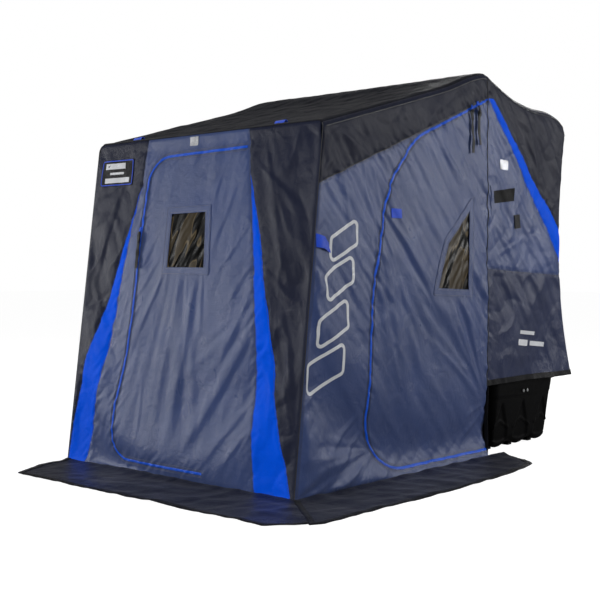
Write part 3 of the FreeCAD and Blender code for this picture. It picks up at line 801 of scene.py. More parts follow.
DARK_THREAD = webbing("dark_thread", rgb(70, 70, 74), 0.55, 0.0012)
STRAP = webbing("black_strap", rgb(8, 8, 9))
BLUE_STRAP = webbing("blue_strap", rgb(20, 80, 226))
WHITE_PRINT = plastic("white_print", rgb(226, 228, 232), 0.5, 600.0)
PATCH = reflective("reflective_patch")
SLED_PLASTIC = plastic("sled_plastic", rgb(3, 3, 4), 0.46, 700.0, 0.05)
RUNNER_PLASTIC = plastic("runner_plastic", rgb(34, 34, 35), 0.5, 500.0)
BLACK_PLASTIC = plastic("black_plastic", rgb(10, 10, 11), 0.38, gloss_level=0.2)
STEEL = metal("steel_plate", rgb(96, 98, 102), 0.42)
ZINC = metal("zinc_steel", rgb(186, 188, 190), 0.3)
TUBE = metal("bow_tube", rgb(66, 68, 72), 0.4, (1.0, 1.0, 0.05))
RAIL = metal("rail_aluminium", rgb(178, 180, 184), 0.33, (0.05, 1.0, 1.0))

CARRIED = [                            # the CAD nodes that stay in view, by material
    (TUBE, "rear_bow_legs rear_bow_bar mid_bow_legs mid_bow_bar"),
    (TUBE, "front_bow_legs front_bow_inner_legs front_bow_bar"),
    (STEEL, "pivot_brackets hitch_bracket seat_carriage_left seat_carriage_right"),
    (BLACK_PLASTIC, "bow_elbows front_bow_elbows leg_clamps seat_pan_left seat_pan_right"),
    (ZINC, "bracket_bolts bow_pins"),
    (RUNNER_PLASTIC, "sled_runners"),
    (RAIL, "seat_rails"),
]


def finish_carried():
    for material, names in CARRIED:
        for name in names.split():
            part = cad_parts[name]
            if not part.material_slots:
                part.data.materials.append(material)
            for place in part.material_slots:
                place.material = material


# --- folds of each wall -------------------------------------------------------------------
front_drape = draped(1.58, FRONT_Z, 1.009, 3)
side_drape = draped(2.3, 2.0, 1.007, 5)

GREY_LEFT = [(-0.655, FOOT), (-0.59, 0.33), (-0.52, 0.88), (-0.45, 1.25), (-0.405, 1.43), (-0.385, FRONT_Z)]
GREY_RIGHT = [(0.56, FOOT), (0.528, 0.3), (0.49, 0.7), (0.44, 1.0), (0.36, 1.44), (0.33, FRONT_Z)]
BLUE_LEFT = [(-0.789, FOOT), (-0.778, 0.21), (-0.735, 0.48), (-0.64, 0.74), (-0.535, 1.03), (-0.47, 1.23),
             (-0.405, 1.43)]
BLUE_RIGHT = [(0.775, FOOT), (0.69, 0.26), (0.61, 0.56), (0.548, 0.824), (0.47, 1.12), (0.36, 1.44)]
FRONT_DOOR = [(0.326, 1.573), (-0.345, 1.56, 0.15), (-0.372, 1.15), (-0.385, 0.78), (-0.438, 0.33),
              (-0.425, 0.06, 0.12), (0.236, 0.057)]
FRONT_WINDOW = [(-0.155, 1.008), (0.112, 1.006), (0.09, 1.279), (-0.155, 1.276)]
SIDE_DOOR = [(RIDGE, 1.896), (0.9, 1.64, 0.3), (0.68, 1.4, 0.5), (0.56, 0.9, 1.2),
             (0.497, 0.045, 0.28), (RIDGE, 0.045)]
SIDE_WINDOW = [(1.086, 0.904), (1.364, 0.893), (1.375, 1.31), (1.175, 1.132)]
STRIPE_INNER = [(RIDGE, SEAM_RIDGE), (1.881, 1.56), (2.152, 1.263)]
STRIPE_OUTER = [(RIDGE + 0.055, SEAM_RIDGE), (1.8, 1.715), (2.19, 1.366)]
STRIPE_LOW = 1.0
STRIPE_HIGH = 1.21
REAR_SEAM = 0.985
CAP_SEAM = [(corner_station(SEAM_FRONT), SEAM_FRONT), (RIDGE, SEAM_RIDGE)]
UPRIGHT_SEAM = [(RIDGE, FOOT), (RIDGE, RIDGE_Z)]

FRONT_SEAMS = [GREY_LEFT, GREY_RIGHT, BLUE_LEFT, BLUE_RIGHT]
SIDE_SEAMS = [CAP_SEAM, UPRIGHT_SEAM, STRIPE_INNER + [(2.349, STRIPE_LOW)],
              STRIPE_OUTER + [(2.347, STRIPE_HIGH)], [(RIDGE, REAR_SEAM + 0.02), (2.35, REAR_SEAM - 0.02)]]

FRONT_FOLDS = [
    ((0.06, 1.0), (-0.03, 0.1), 0.06, 0.02), ((0.5, 0.74), (0.03, 0.08), 0.06, 0.02),
    ((0.48, 0.96), (0.21, 0.47), 0.042, 0.012), ((-0.17, 1.0), (-0.37, 0.6), 0.032, 0.011),
    ((-0.05, 0.98), (-0.16, 0.24), 0.05, 0.009), ((0.0, 0.99), (0.005, 0.82), 0.016, 0.006),
    ((0.1, 1.01), (0.12, 0.7), 0.024, 0.008), ((-0.26, 0.48), (-0.24, 0.13), 0.022, 0.007),
    ((0.3, 1.42), (0.13, 1.06), 0.03, 0.011), ((0.2, 1.52), (0.12, 1.3), 0.018, 0.007),
    ((0.4, 1.22), (0.18, 0.96), 0.03, 0.009), ((0.44, 1.06), (0.29, 0.84), 0.028, 0.009),
    ((-0.35, 1.5), (-0.34, 1.28), 0.022, 0.008), ((-0.19, 1.26), (-0.35, 1.01), 0.026, 0.007),
    ((-0.17, 1.12), (-0.36, 0.86), 0.024, 0.007), ((0.52, 0.42), (0.2, 0.07), 0.034, 0.011),
    ((0.53, 0.3), (0.33, 0.06), 0.026, 0.009), ((-0.43, 0.42), (-0.56, 0.12), 0.024, 0.008),
    ((-0.42, 0.9), (-0.5, 0.64), 0.02, 0.007), ((0.44, 1.6), (0.6, 1.08), 0.04, 0.014),
    ((0.4, 1.5), (0.72, 1.24), 0.034, 0.011), ((0.56, 1.18), (0.73, 0.76), 0.044, 0.014),
    ((0.52, 1.0), (0.7, 0.86), 0.03, 0.01), ((0.62, 0.86), (0.76, 0.38), 0.036, 0.012),
    ((0.68, 0.56), (0.77, 0.24), 0.026, 0.01), ((-0.48, 1.6), (-0.7, 1.12), 0.04, 0.012),
    ((-0.58, 1.34), (-0.75, 0.86), 0.034, 0.011), ((0.6, 0.64), (0.64, 0.16), 0.022, 0.009),
    ((-0.65, 0.86), (-0.73, 0.26), 0.03, 0.008), ((0.56, 0.9), (0.6, 0.42), 0.018, 0.006)]

SIDE_FOLDS = [
    ((0.56, 1.5), (0.66, 1.18), 0.02, 0.009), ((0.48, 1.52), (0.58, 1.18), 0.026, 0.011),
    ((0.33, 1.44), (0.48, 0.96), 0.032, 0.011), ((0.64, 1.3), (1.06, 0.9), 0.028, 0.009),
    ((0.66, 1.22), (0.96, 0.8), 0.034, 0.01), ((0.86, 1.66), (1.24, 1.18), 0.034, 0.011),
    ((1.02, 1.72), (1.35, 1.4), 0.034, 0.011), ((1.16, 1.76), (1.48, 1.52), 0.03, 0.009),
    ((0.6, 1.0), (0.78, 0.36), 0.04, 0.013), ((0.76, 0.98), (0.96, 0.44), 0.036, 0.01),
    ((1.5, 0.34), (1.18, 0.86), 0.05, 0.017), ((1.52, 0.36), (1.3, 0.88), 0.04, 0.013),
    ((1.535, 0.38), (1.44, 0.88), 0.03, 0.011), ((1.49, 0.31), (1.08, 0.64), 0.046, 0.013),
    ((1.53, 0.29), (1.34, 0.23), 0.022, 0.011), ((1.53, 0.25), (1.28, 0.09), 0.026, 0.011),
    ((0.5, 0.26), (0.28, 0.07), 0.026, 0.011), ((0.48, 0.34), (0.2, 0.14), 0.03, 0.012),
    ((0.56, 0.13), (0.42, 0.03), 0.02, 0.008), ((0.1, 1.06), (0.22, 0.56), 0.034, 0.012),
    ((0.06, 0.52), (0.24, 0.26), 0.04, 0.012), ((1.57, 1.72), (1.7, 1.24), 0.028, 0.01),
    ((1.6, 1.26), (1.84, 1.04), 0.028, 0.011), ((1.64, 1.08), (2.0, 1.2), 0.024, 0.008),
    ((1.58, 0.94), (1.86, 0.48), 0.04, 0.01), ((1.8, 0.9), (2.18, 0.56), 0.04, 0.009),
    ((2.3, 0.8), (1.98, 0.44), 0.036, 0.008), ((1.62, 1.86), (2.14, 1.46), 0.04, 0.013),
    ((1.7, 1.88), (2.28, 1.68), 0.036, 0.011), ((1.9, 1.56), (2.3, 1.34), 0.03, 0.01),
    ((0.24, 1.64), (0.52, 1.54), 0.026, 0.009), ((0.5, 1.74), (0.9, 1.66), 0.03, 0.009)]


def window_calm(u, v, outline):
    """Share of the folds' height that is left near a window's stiff vinyl."""
    distance = np.where(inside(u, v, outline), 0, path_distance(u, v, outline + outline[:1]))
    return 0.25 + 0.75 * smooth(distance, 0.01, 0.1)


def near(u, v, paths, reach=0.05):
    """How near points are to some polylines: 1 on each, and nearly 0 beyond twice the reach."""
    return sum(np.exp(-(path_distance(u, v, path) / reach) ** 2) for path in paths)


def front_relief(x, z):
    edge = half_width(corner_station(z), z) - np.abs(x)
    held = smooth(edge, 0, 0.06) * smooth(FRONT_Z - z, 0, 0.07) * smooth(z, 0, 0.03)
    calm = window_calm(x, z, FRONT_WINDOW)
    crumpled = smooth(np.abs(x), 0.4, 0.62)
    w = front_drape(x + 0.79, z)
    w = w + 0.0024 * streaks(x, z, 96, 0.9, 0.08, 11) * (1 - crumpled)
    w = w + 0.0009 * streaks(x, z, 80, 0.34, 0.034, 15) * (1 - crumpled)
    w = w + crumpled * (0.006 * creases(x, z, 0.2, 21) + 0.0034 * streaks(x, z, 118, 0.4, 0.05, 27))
    w = w + fan(x, z, (-0.05, 1.26), -96, 26, 1.4, 12, 0.13, 17)
    w = w + fan(x, z, (0.64, 0.98), -126, 24, 1.0, 10, 0.11, 19)
    near_seam = near(x, z, (rounded(FRONT_DOOR), GREY_RIGHT, GREY_LEFT))
    w = w + 0.0042 * near_seam * streaks(x, z, 48, 0.12, 0.026, 23)
    for start, end, width, height in FRONT_FOLDS:
        w = w + 0.75 * fold(x, z, start, end, width, height)
    return w * held * calm + seams(x, z, FRONT_SEAMS, 31) * smooth(edge, 0, 0.02)


def side_relief(s, z, seed=0):
    front = s - corner_station(z)
    held = smooth(front, 0, 0.06) * smooth(roof_height(s) - z, 0, 0.09) * smooth(z, 0, 0.03)
    held = held * smooth(rear_station(z) - s, 0, 0.06)
    calm = window_calm(s, z, SIDE_WINDOW)
    cap = smooth(z - cap_seam(s), -0.02, 0.04)
    w = side_drape(s, z)
    ahead = 1 - smooth(s, RIDGE - 0.05, RIDGE + 0.02)
    high = smooth(z, 0.55, 0.95)
    w = w + (0.0052 * high + 0.0024) * streaks(s, z, 128, 0.6, 0.074, 41 + seed) * (1 - 0.5 * cap)
    w = w + (0.0026 * high + 0.0008) * streaks(s, z, 131, 0.4, 0.034, 45 + seed)
    w = w + fan(s, z, (RIDGE, 0.3), 116, 34, 0.95, 10, 0.26, 47 + seed) * ahead
    w = w + fan(s, z, (0.6, 0.16), 218, 60, 0.55, 8, 0.34, 48 + seed) * ahead
    w = w + fan(s, z, (0.56, 1.33), 284, 24, 1.2, 10, 0.2, 46 + seed) * ahead
    w = w + (0.0014 + 0.006 * cap + 0.003 * (1 - ahead)) * creases(s, z, 0.2, 51 + seed)
    near_ice = np.exp(-(z / 0.1) ** 2) * ahead
    w = w + 0.006 * near_ice * streaks(s, z, 30, 0.2, 0.045, 49 + seed)
    near_seam = near(s, z, (rounded(SIDE_DOOR), CAP_SEAM, UPRIGHT_SEAM))
    w = w + 0.0038 * near_seam * streaks(s, z, 138, 0.12, 0.026, 53 + seed)
    near_corner = np.exp(-(front / 0.1) ** 2)
    w = w + 0.005 * near_corner * streaks(s, z, 40, 0.16, 0.036, 57 + seed)
    for start, end, width, height in SIDE_FOLDS:
        w = w + 0.6 * fold(s, z, start, end, width, height)
    return w * held * calm + seams(s, z, SIDE_SEAMS, 61 + seed) * smooth(front, 0, 0.02)


def left_relief(s, z):
    return side_relief(s, z, 100)


def roof_relief(x, s):
    edge = half_width(s, roof_height(s)) - np.abs(x)
    held = smooth(edge, 0, 0.1) * smooth(s - LEAN, 0, 0.08) * smooth(REAR_TOP + 0.04 - s, 0, 0.1)
    ridge = np.exp(-((s - RIDGE) / 0.05) ** 2)
    w = 0.006 * streaks(x, s, 8, 0.6, 0.11, 71) + 0.003 * streaks(x, s, 60, 0.4, 0.05, 73)
    w = w + 0.0022 * creases(x, s, 0.15, 75)
    sag = -0.012 * np.sin(math.pi * np.clip((s - LEAN) / (RIDGE - LEAN), 0, 1)) * smooth(edge, 0, 0.4)
    return (w * (1 - 0.6 * ridge) + sag) * held - 0.003 * np.exp(-((s - RIDGE) / 0.01) ** 2)


def rear_relief(x, z):
    edge = half_width(rear_station(z), z) - np.abs(x)
    held = smooth(edge, 0, 0.08) * smooth(1.79 - z, 0, 0.06) * smooth(z - HEM_LOW, 0, 0.05)
    w = 0.006 * streaks(x, z, 84, 0.7, 0.1, 81) + 0.003 * streaks(x, z, 40, 0.3, 0.05, 83)
    return (w + 0.0022 * creases(x, z, 0.16, 85)) * held


def ice_relief(x, s):
    w = 0.005 * streaks(x, s, 12, 0.45, 0.09, 91) + 0.0034 * streaks(x, s, 80, 0.4, 0.07, 93)
    return np.clip(w + 0.0014 * creases(x, s, 0.2, 95) + 0.003, 0, 0.016)


# --- cloth --------------------------------------------------------------------------------
ZIP_TEETH = [(0.0003, -0.0004), (0.0003, 0.0036), (0.003, 0.004), (0.004, 0.0018), (0.0058, 0.0012),
             (0.0062, -0.0004)]
ZIP_STEP = 0.0045
TRIM_STEP = 0.01
TRIM_LIFT = 0.0024                     # of a patch or a border above the cloth that it is sewn to
EAVE_DROP = 0.03                       # of the piping below the roof's edge
REAR_EDGE_Z = 1.799
REAR_EDGE = float(rear_station(REAR_EDGE_Z))
FRONT = {"surface": front_surface, "relief": front_relief, "squash": "wall"}
SIDES = {
    "right": {"surface": side_surface, "relief": side_relief},
    "left": {"surface": left_surface, "relief": left_relief},
}
STEPS = {"right": FINE, "left": COARSE}
SIGNS = {"right": 1, "left": -1}


def cloth(name, loop, material, body, surface, relief, nodes=(), squash=None, slot=None, step=FINE, holes=(),
          lift=0.0, thickness=CLOTH, held="stretched"):
    points, faces = sheet_mesh(loop, surface, relief, step, holes, thickness, lift)
    piece = new_piece(name, points, faces, material)
    flat, area = cut_size(loop)
    area -= sum(abs(signed_area(hole)) for hole in holes)
    set_down(piece, body, nodes, squash)


def strip(name, path, profile, material, body, surface, relief, nodes=(), squash=None, slot=None,
          closed=False, teeth=0.0):
    points, faces = strip_mesh(path, surface, relief, profile, closed, teeth)
    set_down(new_piece(name, points, faces, material), body, nodes, squash)


def stitches(name, rows, body, surface, relief, squash=None, material=DARK_THREAD, offsets=(0.005, -0.005),
             lift=0.0):
    points, faces = joined([stitch_mesh(row, surface, relief, offsets, lift) for row in rows])
    set_down(new_piece(name, points, faces, material), body, squash=squash)


def piping(name, path, wall, radius=0.0024):
    strip(name, divided(path, TRIM_STEP), round_profile(radius, 0.001), PIPING, **wall)


def zip_half(name, stitch_name, path, wall, side=1, nodes=()):
    """The half of a zip on one side of its path, and the two rows of stitches that hold it."""
    profile = [(side * across, height) for across, height in ZIP_TEETH][::side]
    strip(name, path, profile, ZIP_BLUE, nodes=nodes, teeth=0.0022, **wall)
    stitches(stitch_name, [path], offsets=(side * 0.011, side * 0.017), **wall)


def window(name, suffix, outline, margin, radius, pane_relief, wall, step=FINE, nodes=()):
    """A vinyl pane behind a sewn border that has two rows of stitches."""
    border = rounded([p + (radius,) for p in moved_out(outline, margin)], 5)
    cloth(name + "_frame" + suffix, border, GREY, nodes=nodes, holes=[moved_out(outline, -0.003)],
          lift=TRIM_LIFT, step=step, **wall)
    cloth(name + "_vinyl" + suffix, moved_out(outline, 0.016), WINDOW, nodes=[name + suffix], lift=-0.003,
          thickness=0.0008, step=step, **dict(wall, relief=pane_relief))
    rows = [moved_out(outline, margin - 0.006), moved_out(outline, 0.004)]
    stitches(name + "_stitches" + suffix, [row + row[:1] for row in rows], material=THREAD, offsets=(0.0,),
             lift=TRIM_LIFT, **wall)


def band_profile(width, low=0.0004, high=0.0014):
    return [(-width / 2, low), (-width / 2, high), (width / 2, high), (width / 2, low)]


def rectangle(low, high):
    return [low, (high[0], low[1]), high, (low[0], high[1])]


def mirrored_loop(right):
    """The outline with these points as its right half."""
    return right + [(-u, v) for u, v in right][::-1]


def rear_edge(low, high, steps=8):
    return [(float(rear_station(z)), float(z)) for z in np.linspace(low, high, steps)]


def roof_edge(first, last, drop=0.0):
    return [(float(s), float(roof_height(s)) - drop) for s in np.linspace(first, last, 24)]


def front_pane_relief(x, z):
    return front_relief(x, z) + 0.0016 * streaks(x, z, 52, 0.1, 0.02, 97)


def side_pane_relief(s, z):
    return side_relief(s, z) + 0.002 * streaks(s, z, 52, 0.12, 0.024, 99)


# --- front wall ---------------------------------------------------------------------------
def front_wall():
    wall = dict(FRONT, body="front_wall")
    top = float(half_width(LEAN, FRONT_Z))
    foot = float(half_width(corner_station(FOOT), FOOT))
    door = rounded(FRONT_DOOR)
    panel = GREY_LEFT + GREY_RIGHT[::-1]
    cloth("front_panel_cloth", panel, GREY, nodes=["front_panel"], holes=[door], **wall)
    for hand, grey, blue in (("left", GREY_LEFT, BLUE_LEFT), ("right", GREY_RIGHT, BLUE_RIGHT)):
        corner = [(SIGNS[hand] * foot, FOOT), (SIGNS[hand] * top, FRONT_Z), grey[-1]] + blue[::-1]
        cloth("front_gusset_" + hand, blue[::-1] + grey[:4], BLUE, nodes=["front_gussets"], **wall)
        cloth("front_corner_" + hand, corner, CHARCOAL, nodes=["front_corner_panels"], **wall)
    zip_half("front_zip_wall_half", "front_zip_stitches", divided(door, ZIP_STEP), wall, nodes=["front_zip"])
    stitches("front_seam_stitches", FRONT_SEAMS, **wall)
    cloth("front_reflective_patch", rectangle((-0.068, 1.604), (-0.01, 1.648)), PATCH, lift=0.0022,
          thickness=0.001, **wall)


def label():
    """A sewn label with a blue edge and three plain bars."""
    wall = dict(FRONT, body="front_wall", slot="label_patch")
    left, foot = -0.733, 1.434
    edge = [p + (0.008,) for p in rectangle((left, foot), (-0.484, 1.572))]
    cloth("label_cloth", rounded(edge, 4), HEM, nodes=["front_label"], lift=0.003, thickness=0.0012, **wall)
    border = divided(rounded(moved_out(edge, -0.006), 4), TRIM_STEP, True)
    strip("label_border", border, band_profile(0.005, 0.003, 0.0042), BLUE_STRAP, closed=True, **wall)
    bars = [(0.034, 0.15, 0.104, 0.03), (0.07, 0.104, 0.066, 0.012), (0.034, 0.186, 0.03, 0.026)]
    for number, (start, length, up, thick) in enumerate(bars):
        path = divided([(left + start, foot + up), (left + start + length, foot + up)], TRIM_STEP)
        strip(f"label_bar_{number}", path, band_profile(thick, 0.003, 0.0042), WHITE_PRINT, **wall)


def front_door():
    door = dict(FRONT, body="front_door")
    outline = rounded(FRONT_DOOR)
    opening = moved_out(FRONT_WINDOW, 0.006)
    cloth("front_door_cloth", outline, GREY, nodes=["front_door"], holes=[opening], **door)
    window("front_window", "", FRONT_WINDOW, 0.034, 0.012, front_pane_relief, door,
           nodes=["front_window_border"])
    zip_half("front_zip_door_half", "front_door_stitches", divided(outline, ZIP_STEP), door, -1)


# --- side walls ---------------------------------------------------------------------------
def side_wall(side):
    wall = dict(SIDES[side], squash="canopy", body="shelter")
    door = rounded(SIDE_DOOR)
    foot = (corner_station(FOOT), FOOT)
    cloth("side_wall_cloth_" + side, [foot, (RIDGE, FOOT)] + door[::-1] + CAP_SEAM[::-1], GREY,
          nodes=["side_wall_" + side], step=STEPS[side], **wall)
    cloth("side_cap_cloth_" + side, CAP_SEAM + roof_edge(RIDGE, LEAN), BLACK, nodes=["side_caps"],
          step=STEPS[side], **wall)
    zip_half("side_zip_wall_half_" + side, "side_zip_stitches_" + side, divided(door, ZIP_STEP), wall,
             nodes=["side_zips"])
    piping("cap_piping_" + side, CAP_SEAM, wall)
    piping("corner_piping_" + side, [foot, (LEAN, FRONT_Z)], wall)
    piping("eave_piping_" + side, roof_edge(LEAN + 0.02, RIDGE, EAVE_DROP), wall)
    beside_corner = [(corner_station(z) + 0.006, z) for z in np.linspace(FOOT, FRONT_Z - 0.05, 30)]
    stitches("side_seam_stitches_" + side, [CAP_SEAM, beside_corner], offsets=(0.006, 0.012), **wall)


def side_door(side):
    door = dict(SIDES[side], squash="canopy", body="side_door_" + side)
    outline = rounded(SIDE_DOOR)
    cloth("side_door_cloth_" + side, outline, GREY, nodes=["side_door_" + side],
          holes=[moved_out(SIDE_WINDOW, 0.006)], step=STEPS[side], **door)
    window("side_window", "_" + side, SIDE_WINDOW, 0.036, 0.016, side_pane_relief, door, STEPS[side])
    zip_line = divided(outline, ZIP_STEP)
    zip_half("side_zip_door_half_" + side, "side_door_stitches_" + side, zip_line, door, -1)
    cloth("door_tab_" + side, rectangle((0.7, 1.244), (0.776, 1.289)), BLUE_STRAP, lift=0.004, **door)


def rear_side(side):
    wall = dict(SIDES[side], body="shelter")
    seam_z = REAR_SEAM - 0.02
    seam = [(RIDGE, REAR_SEAM + 0.02), (float(rear_station(seam_z)), seam_z)]
    panels = {
        "rear_side_upper_": (seam + rear_edge(seam_z, STRIPE_LOW, 3)[1:] + STRIPE_INNER[::-1], GREY,
                             "rear_side_" + side, None),
        # the lower panel takes the darker copy of the grey cloth: painted shade
        "rear_side_lower_": ([(RIDGE, HEM_HIGH)] + rear_edge(HEM_HIGH, seam_z) + seam[:1], SHADED_GREY,
                             "rear_side_" + side, None),
        "rear_stripe_": (STRIPE_INNER + rear_edge(STRIPE_LOW, STRIPE_HIGH, 4) + STRIPE_OUTER[::-1], BLUE,
                         "rear_stripes", None),
        "rear_cap_": (STRIPE_INNER[:1] + STRIPE_OUTER + rear_edge(STRIPE_HIGH, REAR_EDGE_Z)
                      + roof_edge(REAR_EDGE, RIDGE)[1:], BLACK, "rear_caps", "charcoal_fabric"),
    }
    for name, (loop, material, cad_node, slot) in panels.items():
        cloth(name + side, loop, material, nodes=[cad_node], slot=slot, step=STEPS[side], **wall)
    hem = [(RIDGE + 0.005, HEM_LOW)] + rear_edge(HEM_LOW, HEM_HIGH, 3) + [(RIDGE + 0.005, HEM_HIGH)]
    cloth("hem_band_" + side, hem, HEM, nodes=["rim_hem"], lift=0.003, thickness=0.006, step=STEPS[side],
          **wall)
    piping("upright_piping_" + side, [(RIDGE, HEM_LOW), (RIDGE, RIDGE_Z - 0.035)], wall, 0.0026)
    piping("rear_eave_piping_" + side, roof_edge(RIDGE, REAR_EDGE - 0.05, EAVE_DROP), wall)
    inner = STRIPE_INNER + rear_edge(STRIPE_LOW, STRIPE_LOW, 1)
    outer = STRIPE_OUTER + rear_edge(STRIPE_HIGH, STRIPE_HIGH, 1)
    stitches("rear_seam_stitches_" + side, [inner, outer, seam], **wall)


def rear_trim(side):
    """The vent with its screen and its keeper, and a reflective patch."""
    wall = dict(SIDES[side], body="shelter", step=COARSE)
    vent = [(1.607, 1.348), (1.821, 1.371), (1.82, 1.45), (1.601, 1.422)]
    keeper = [(1.833, 1.223), (1.893, 1.23), (1.87, 1.303), (1.811, 1.297)]
    patch = [(1.674, 1.54), (1.75, 1.538), (1.755, 1.59), (1.678, 1.592)]
    cloth("vent_mesh_" + side, vent, MESH_CLOTH, nodes=["vent_screens"], lift=0.0022, thickness=0.001,
          **wall)
    cloth("vent_frame_" + side, moved_out(vent, 0.026), GREY, holes=[moved_out(vent, -0.004)], lift=0.0036,
          **wall)
    cloth("vent_keeper_" + side, keeper, HEM, nodes=["vent_screens"], slot="mesh_fabric", lift=0.004,
          thickness=0.003, **wall)
    cloth("side_patch_" + side, patch, PATCH, nodes=["trim_tabs"], lift=TRIM_LIFT, thickness=0.001, **wall)


def arched(relief, start, end, lift, axis):
    """The relief with a loop's arch on it, from start to end along one of its two directions."""
    def bulging(u, v):
        share = np.clip(((u, v)[axis] - start) / (end - start), 0, 1)
        return relief(u, v) + lift + 0.012 * np.sin(math.pi * share)
    return bulging


def loops(side):
    """The tie-out loop at the front corner, and the small loop at the roof's front edge."""
    wall = dict(SIDES[side], body="shelter", squash="canopy")
    look = {"nodes": ["trim_tabs"], "thickness": 0.0022, "held": "laid"}
    start, end, low, high = 0.157, 0.25, 1.098, 1.158
    corner = [(start, high), (start, low), (0.205, low - 0.006), (0.264, 1.074), (0.243, 1.118),
              (0.205, high - 0.012)]
    wall["relief"] = arched(wall["relief"], start, end, 0.003, 0)
    cloth("corner_loop_" + side, corner, BLUE_STRAP, step=0.006, **look, **wall)
    near, far = 0.232, 0.262
    wall.update(surface=roof_surface, relief=arched(roof_relief, near, far, 0.002, 1))
    tab = rectangle((0.47 * SIGNS[side], near), (0.53 * SIGNS[side], far))
    cloth("roof_tab_" + side, tab, BLUE_STRAP, step=0.005, **look, **wall)


def wind_flap(side):
    def flap_surface(x, z, w=0.0):
        return np.stack([x + 0 * w, RIDGE_Y + 0.007 - w + 0.003 * np.sin(z * 23), z + 0 * w], -1)

    loop = rectangle((0.767 * SIGNS[side], 0.006), (0.789 * SIGNS[side], HEM_LOW))
    cloth("wind_flap_" + side, loop, HEM, "shelter", flap_surface, level, ["rim_hem"], step=0.008,
          held="hung")


def decals(side):
    """Plain slanting bars: four printed as outlines, and three small ones on the rear panel."""
    wall = dict(SIDES[side], squash="canopy", body="shelter")
    for number, (s, z) in enumerate([(0.215, 0.56), (0.262, 0.76), (0.312, 0.96), (0.352, 1.13)]):
        half, tall, lean = 0.116 - 0.009 * number, 0.068 - 0.004 * number, 0.045
        corners = [(s - half, z - tall - lean), (s + half, z - tall + lean), (s + half, z + tall + lean),
                   (s - half, z + tall - lean)]
        loop = divided(rounded([p + (0.022,) for p in corners], 6), 0.006, True)
        strip(f"side_bar_{number}_{side}", loop, band_profile(0.016), WHITE_PRINT, closed=True, **wall)
    bars = [((1.88, 0.655), (2.04, 0.64), 0.02), ((1.86, 0.6), (1.96, 0.59), 0.034),
            ((1.99, 0.588), (2.16, 0.572), 0.026)]
    for number, (first, last, width) in enumerate(bars):
        path = divided([first, last], TRIM_STEP)
        strip(f"rear_bar_{number}_{side}", path, band_profile(width), WHITE_PRINT, **dict(wall, squash=None))


# --- roof, rear wall and ground skirts ----------------------------------------------------
def roofs():
    rear = {"surface": roof_surface, "relief": roof_relief, "body": "shelter"}
    front = dict(rear, squash="canopy")
    halves = (("front", LEAN, RIDGE, FINE, front), ("rear", RIDGE, REAR_EDGE, COARSE, rear))
    for name, first, last, step, wall in halves:
        right = [(float(half_width(s, roof_height(s))), float(s)) for s in np.linspace(first, last, 24)]
        cloth(f"roof_{name}_cloth", mirrored_loop(right), ROOF, nodes=["roof_" + name], step=step, **wall)
    ridge_x = float(half_width(RIDGE, roof_height(RIDGE))) - 0.005
    piping("ridge_piping", [(-ridge_x, RIDGE - 0.004), (ridge_x, RIDGE - 0.004)], rear, 0.0026)
    brow_x = float(half_width(LEAN, FRONT_Z)) - 0.02
    piping("brow_piping", [(-brow_x, LEAN + 0.012), (brow_x, LEAN + 0.012)], front)


def rear_wall():
    wall = {"surface": rear_surface, "relief": rear_relief, "body": "shelter"}
    heights = np.linspace(HEM_LOW, REAR_EDGE_Z, 24)
    right = [(float(half_width(rear_station(z), z)), float(z)) for z in heights]
    cloth("rear_wall_cloth", mirrored_loop(right), BLACK, nodes=["rear_wall"], step=COARSE, **wall)
    edge = float(half_width(rear_station(1.0), 1.0)) - 0.01
    piping("rear_wall_seam", [(-edge, REAR_SEAM - 0.02), (edge, REAR_SEAM - 0.02)], wall)


def skirts():
    edge = float(half_width(0, 0))
    front_loop = rounded([(-edge + 0.008, 0.0), (-0.79, -0.15, 0.09), (-0.672, -0.396, 0.05), (0.993, -0.4),
                          (1.089, -0.318), (1.1155, -0.259), (edge - 0.0025, 0.0)], 6)
    right_loop = rounded([(edge, 0.0), (1.118, -0.262), (1.15, -0.206), (1.162, 0.853), (1.118, 1.341),
                          (1.072, 1.534), (0.987, 1.612, 0.06), (edge, 1.7), (edge, RIDGE)], 6)
    left_loop = rounded([(-edge + 0.01, 0.06), (-0.47, 0.09, 0.06), (-0.44, 1.48, 0.06),
                         (-edge + 0.01, 1.53)], 6)

    def front_lie(x, s):
        return ice_relief(x, s) + 0.0035 + 0.01 * np.exp(-(s / 0.03) ** 2)

    def right_lie(x, s):
        beside_wall = np.exp(-((x - edge) / 0.03) ** 2)
        return ice_relief(x + 3, s) * smooth(s, -0.3, 0.05) + 0.0015 + 0.01 * beside_wall

    def left_lie(x, s):
        return ice_relief(x + 7, s) + 0.0015

    front = {"surface": ice_surface, "relief": front_lie, "body": "front_wall"}
    right = {"surface": ice_surface, "relief": right_lie, "body": "shelter", "squash": "canopy"}
    look = {"held": "laid", "thickness": 0.0014}
    cloth("front_skirt_cloth", front_loop, SKIRT, nodes=["front_skirt"], **look, **front)
    cloth("skirt_right_cloth", right_loop, SKIRT, nodes=["skirt_right"], **look, **right)
    cloth("skirt_left_cloth", left_loop, SKIRT, nodes=["skirt_left"], step=COARSE, **look,
          **dict(right, relief=left_lie))
    hem = [(-0.03, 0.0002), (-0.03, 0.0026), (-0.004, 0.0034), (-0.001, 0.0016), (-0.001, 0.0002)]
    for name, path, wall in (("front", front_loop[:-1], front), ("right", right_loop[:-3], right)):
        strip(f"skirt_{name}_hem", divided(path, TRIM_STEP), hem, HEM, slot="skirt_fabric", **wall)


# --- sled ---------------------------------------------------------------------------------
SLED_X, SLED_Y, SLED_CORNER = 0.755, 0.365, 0.09
SLED_TOP, SLED_BOTTOM = 0.402, 0.015
DRAFT_X, DRAFT_Y = 0.04, 0.045
KEEL_PITCH = 0.22
KEEL_DEPTH = 0.022
SHELL = 0.006


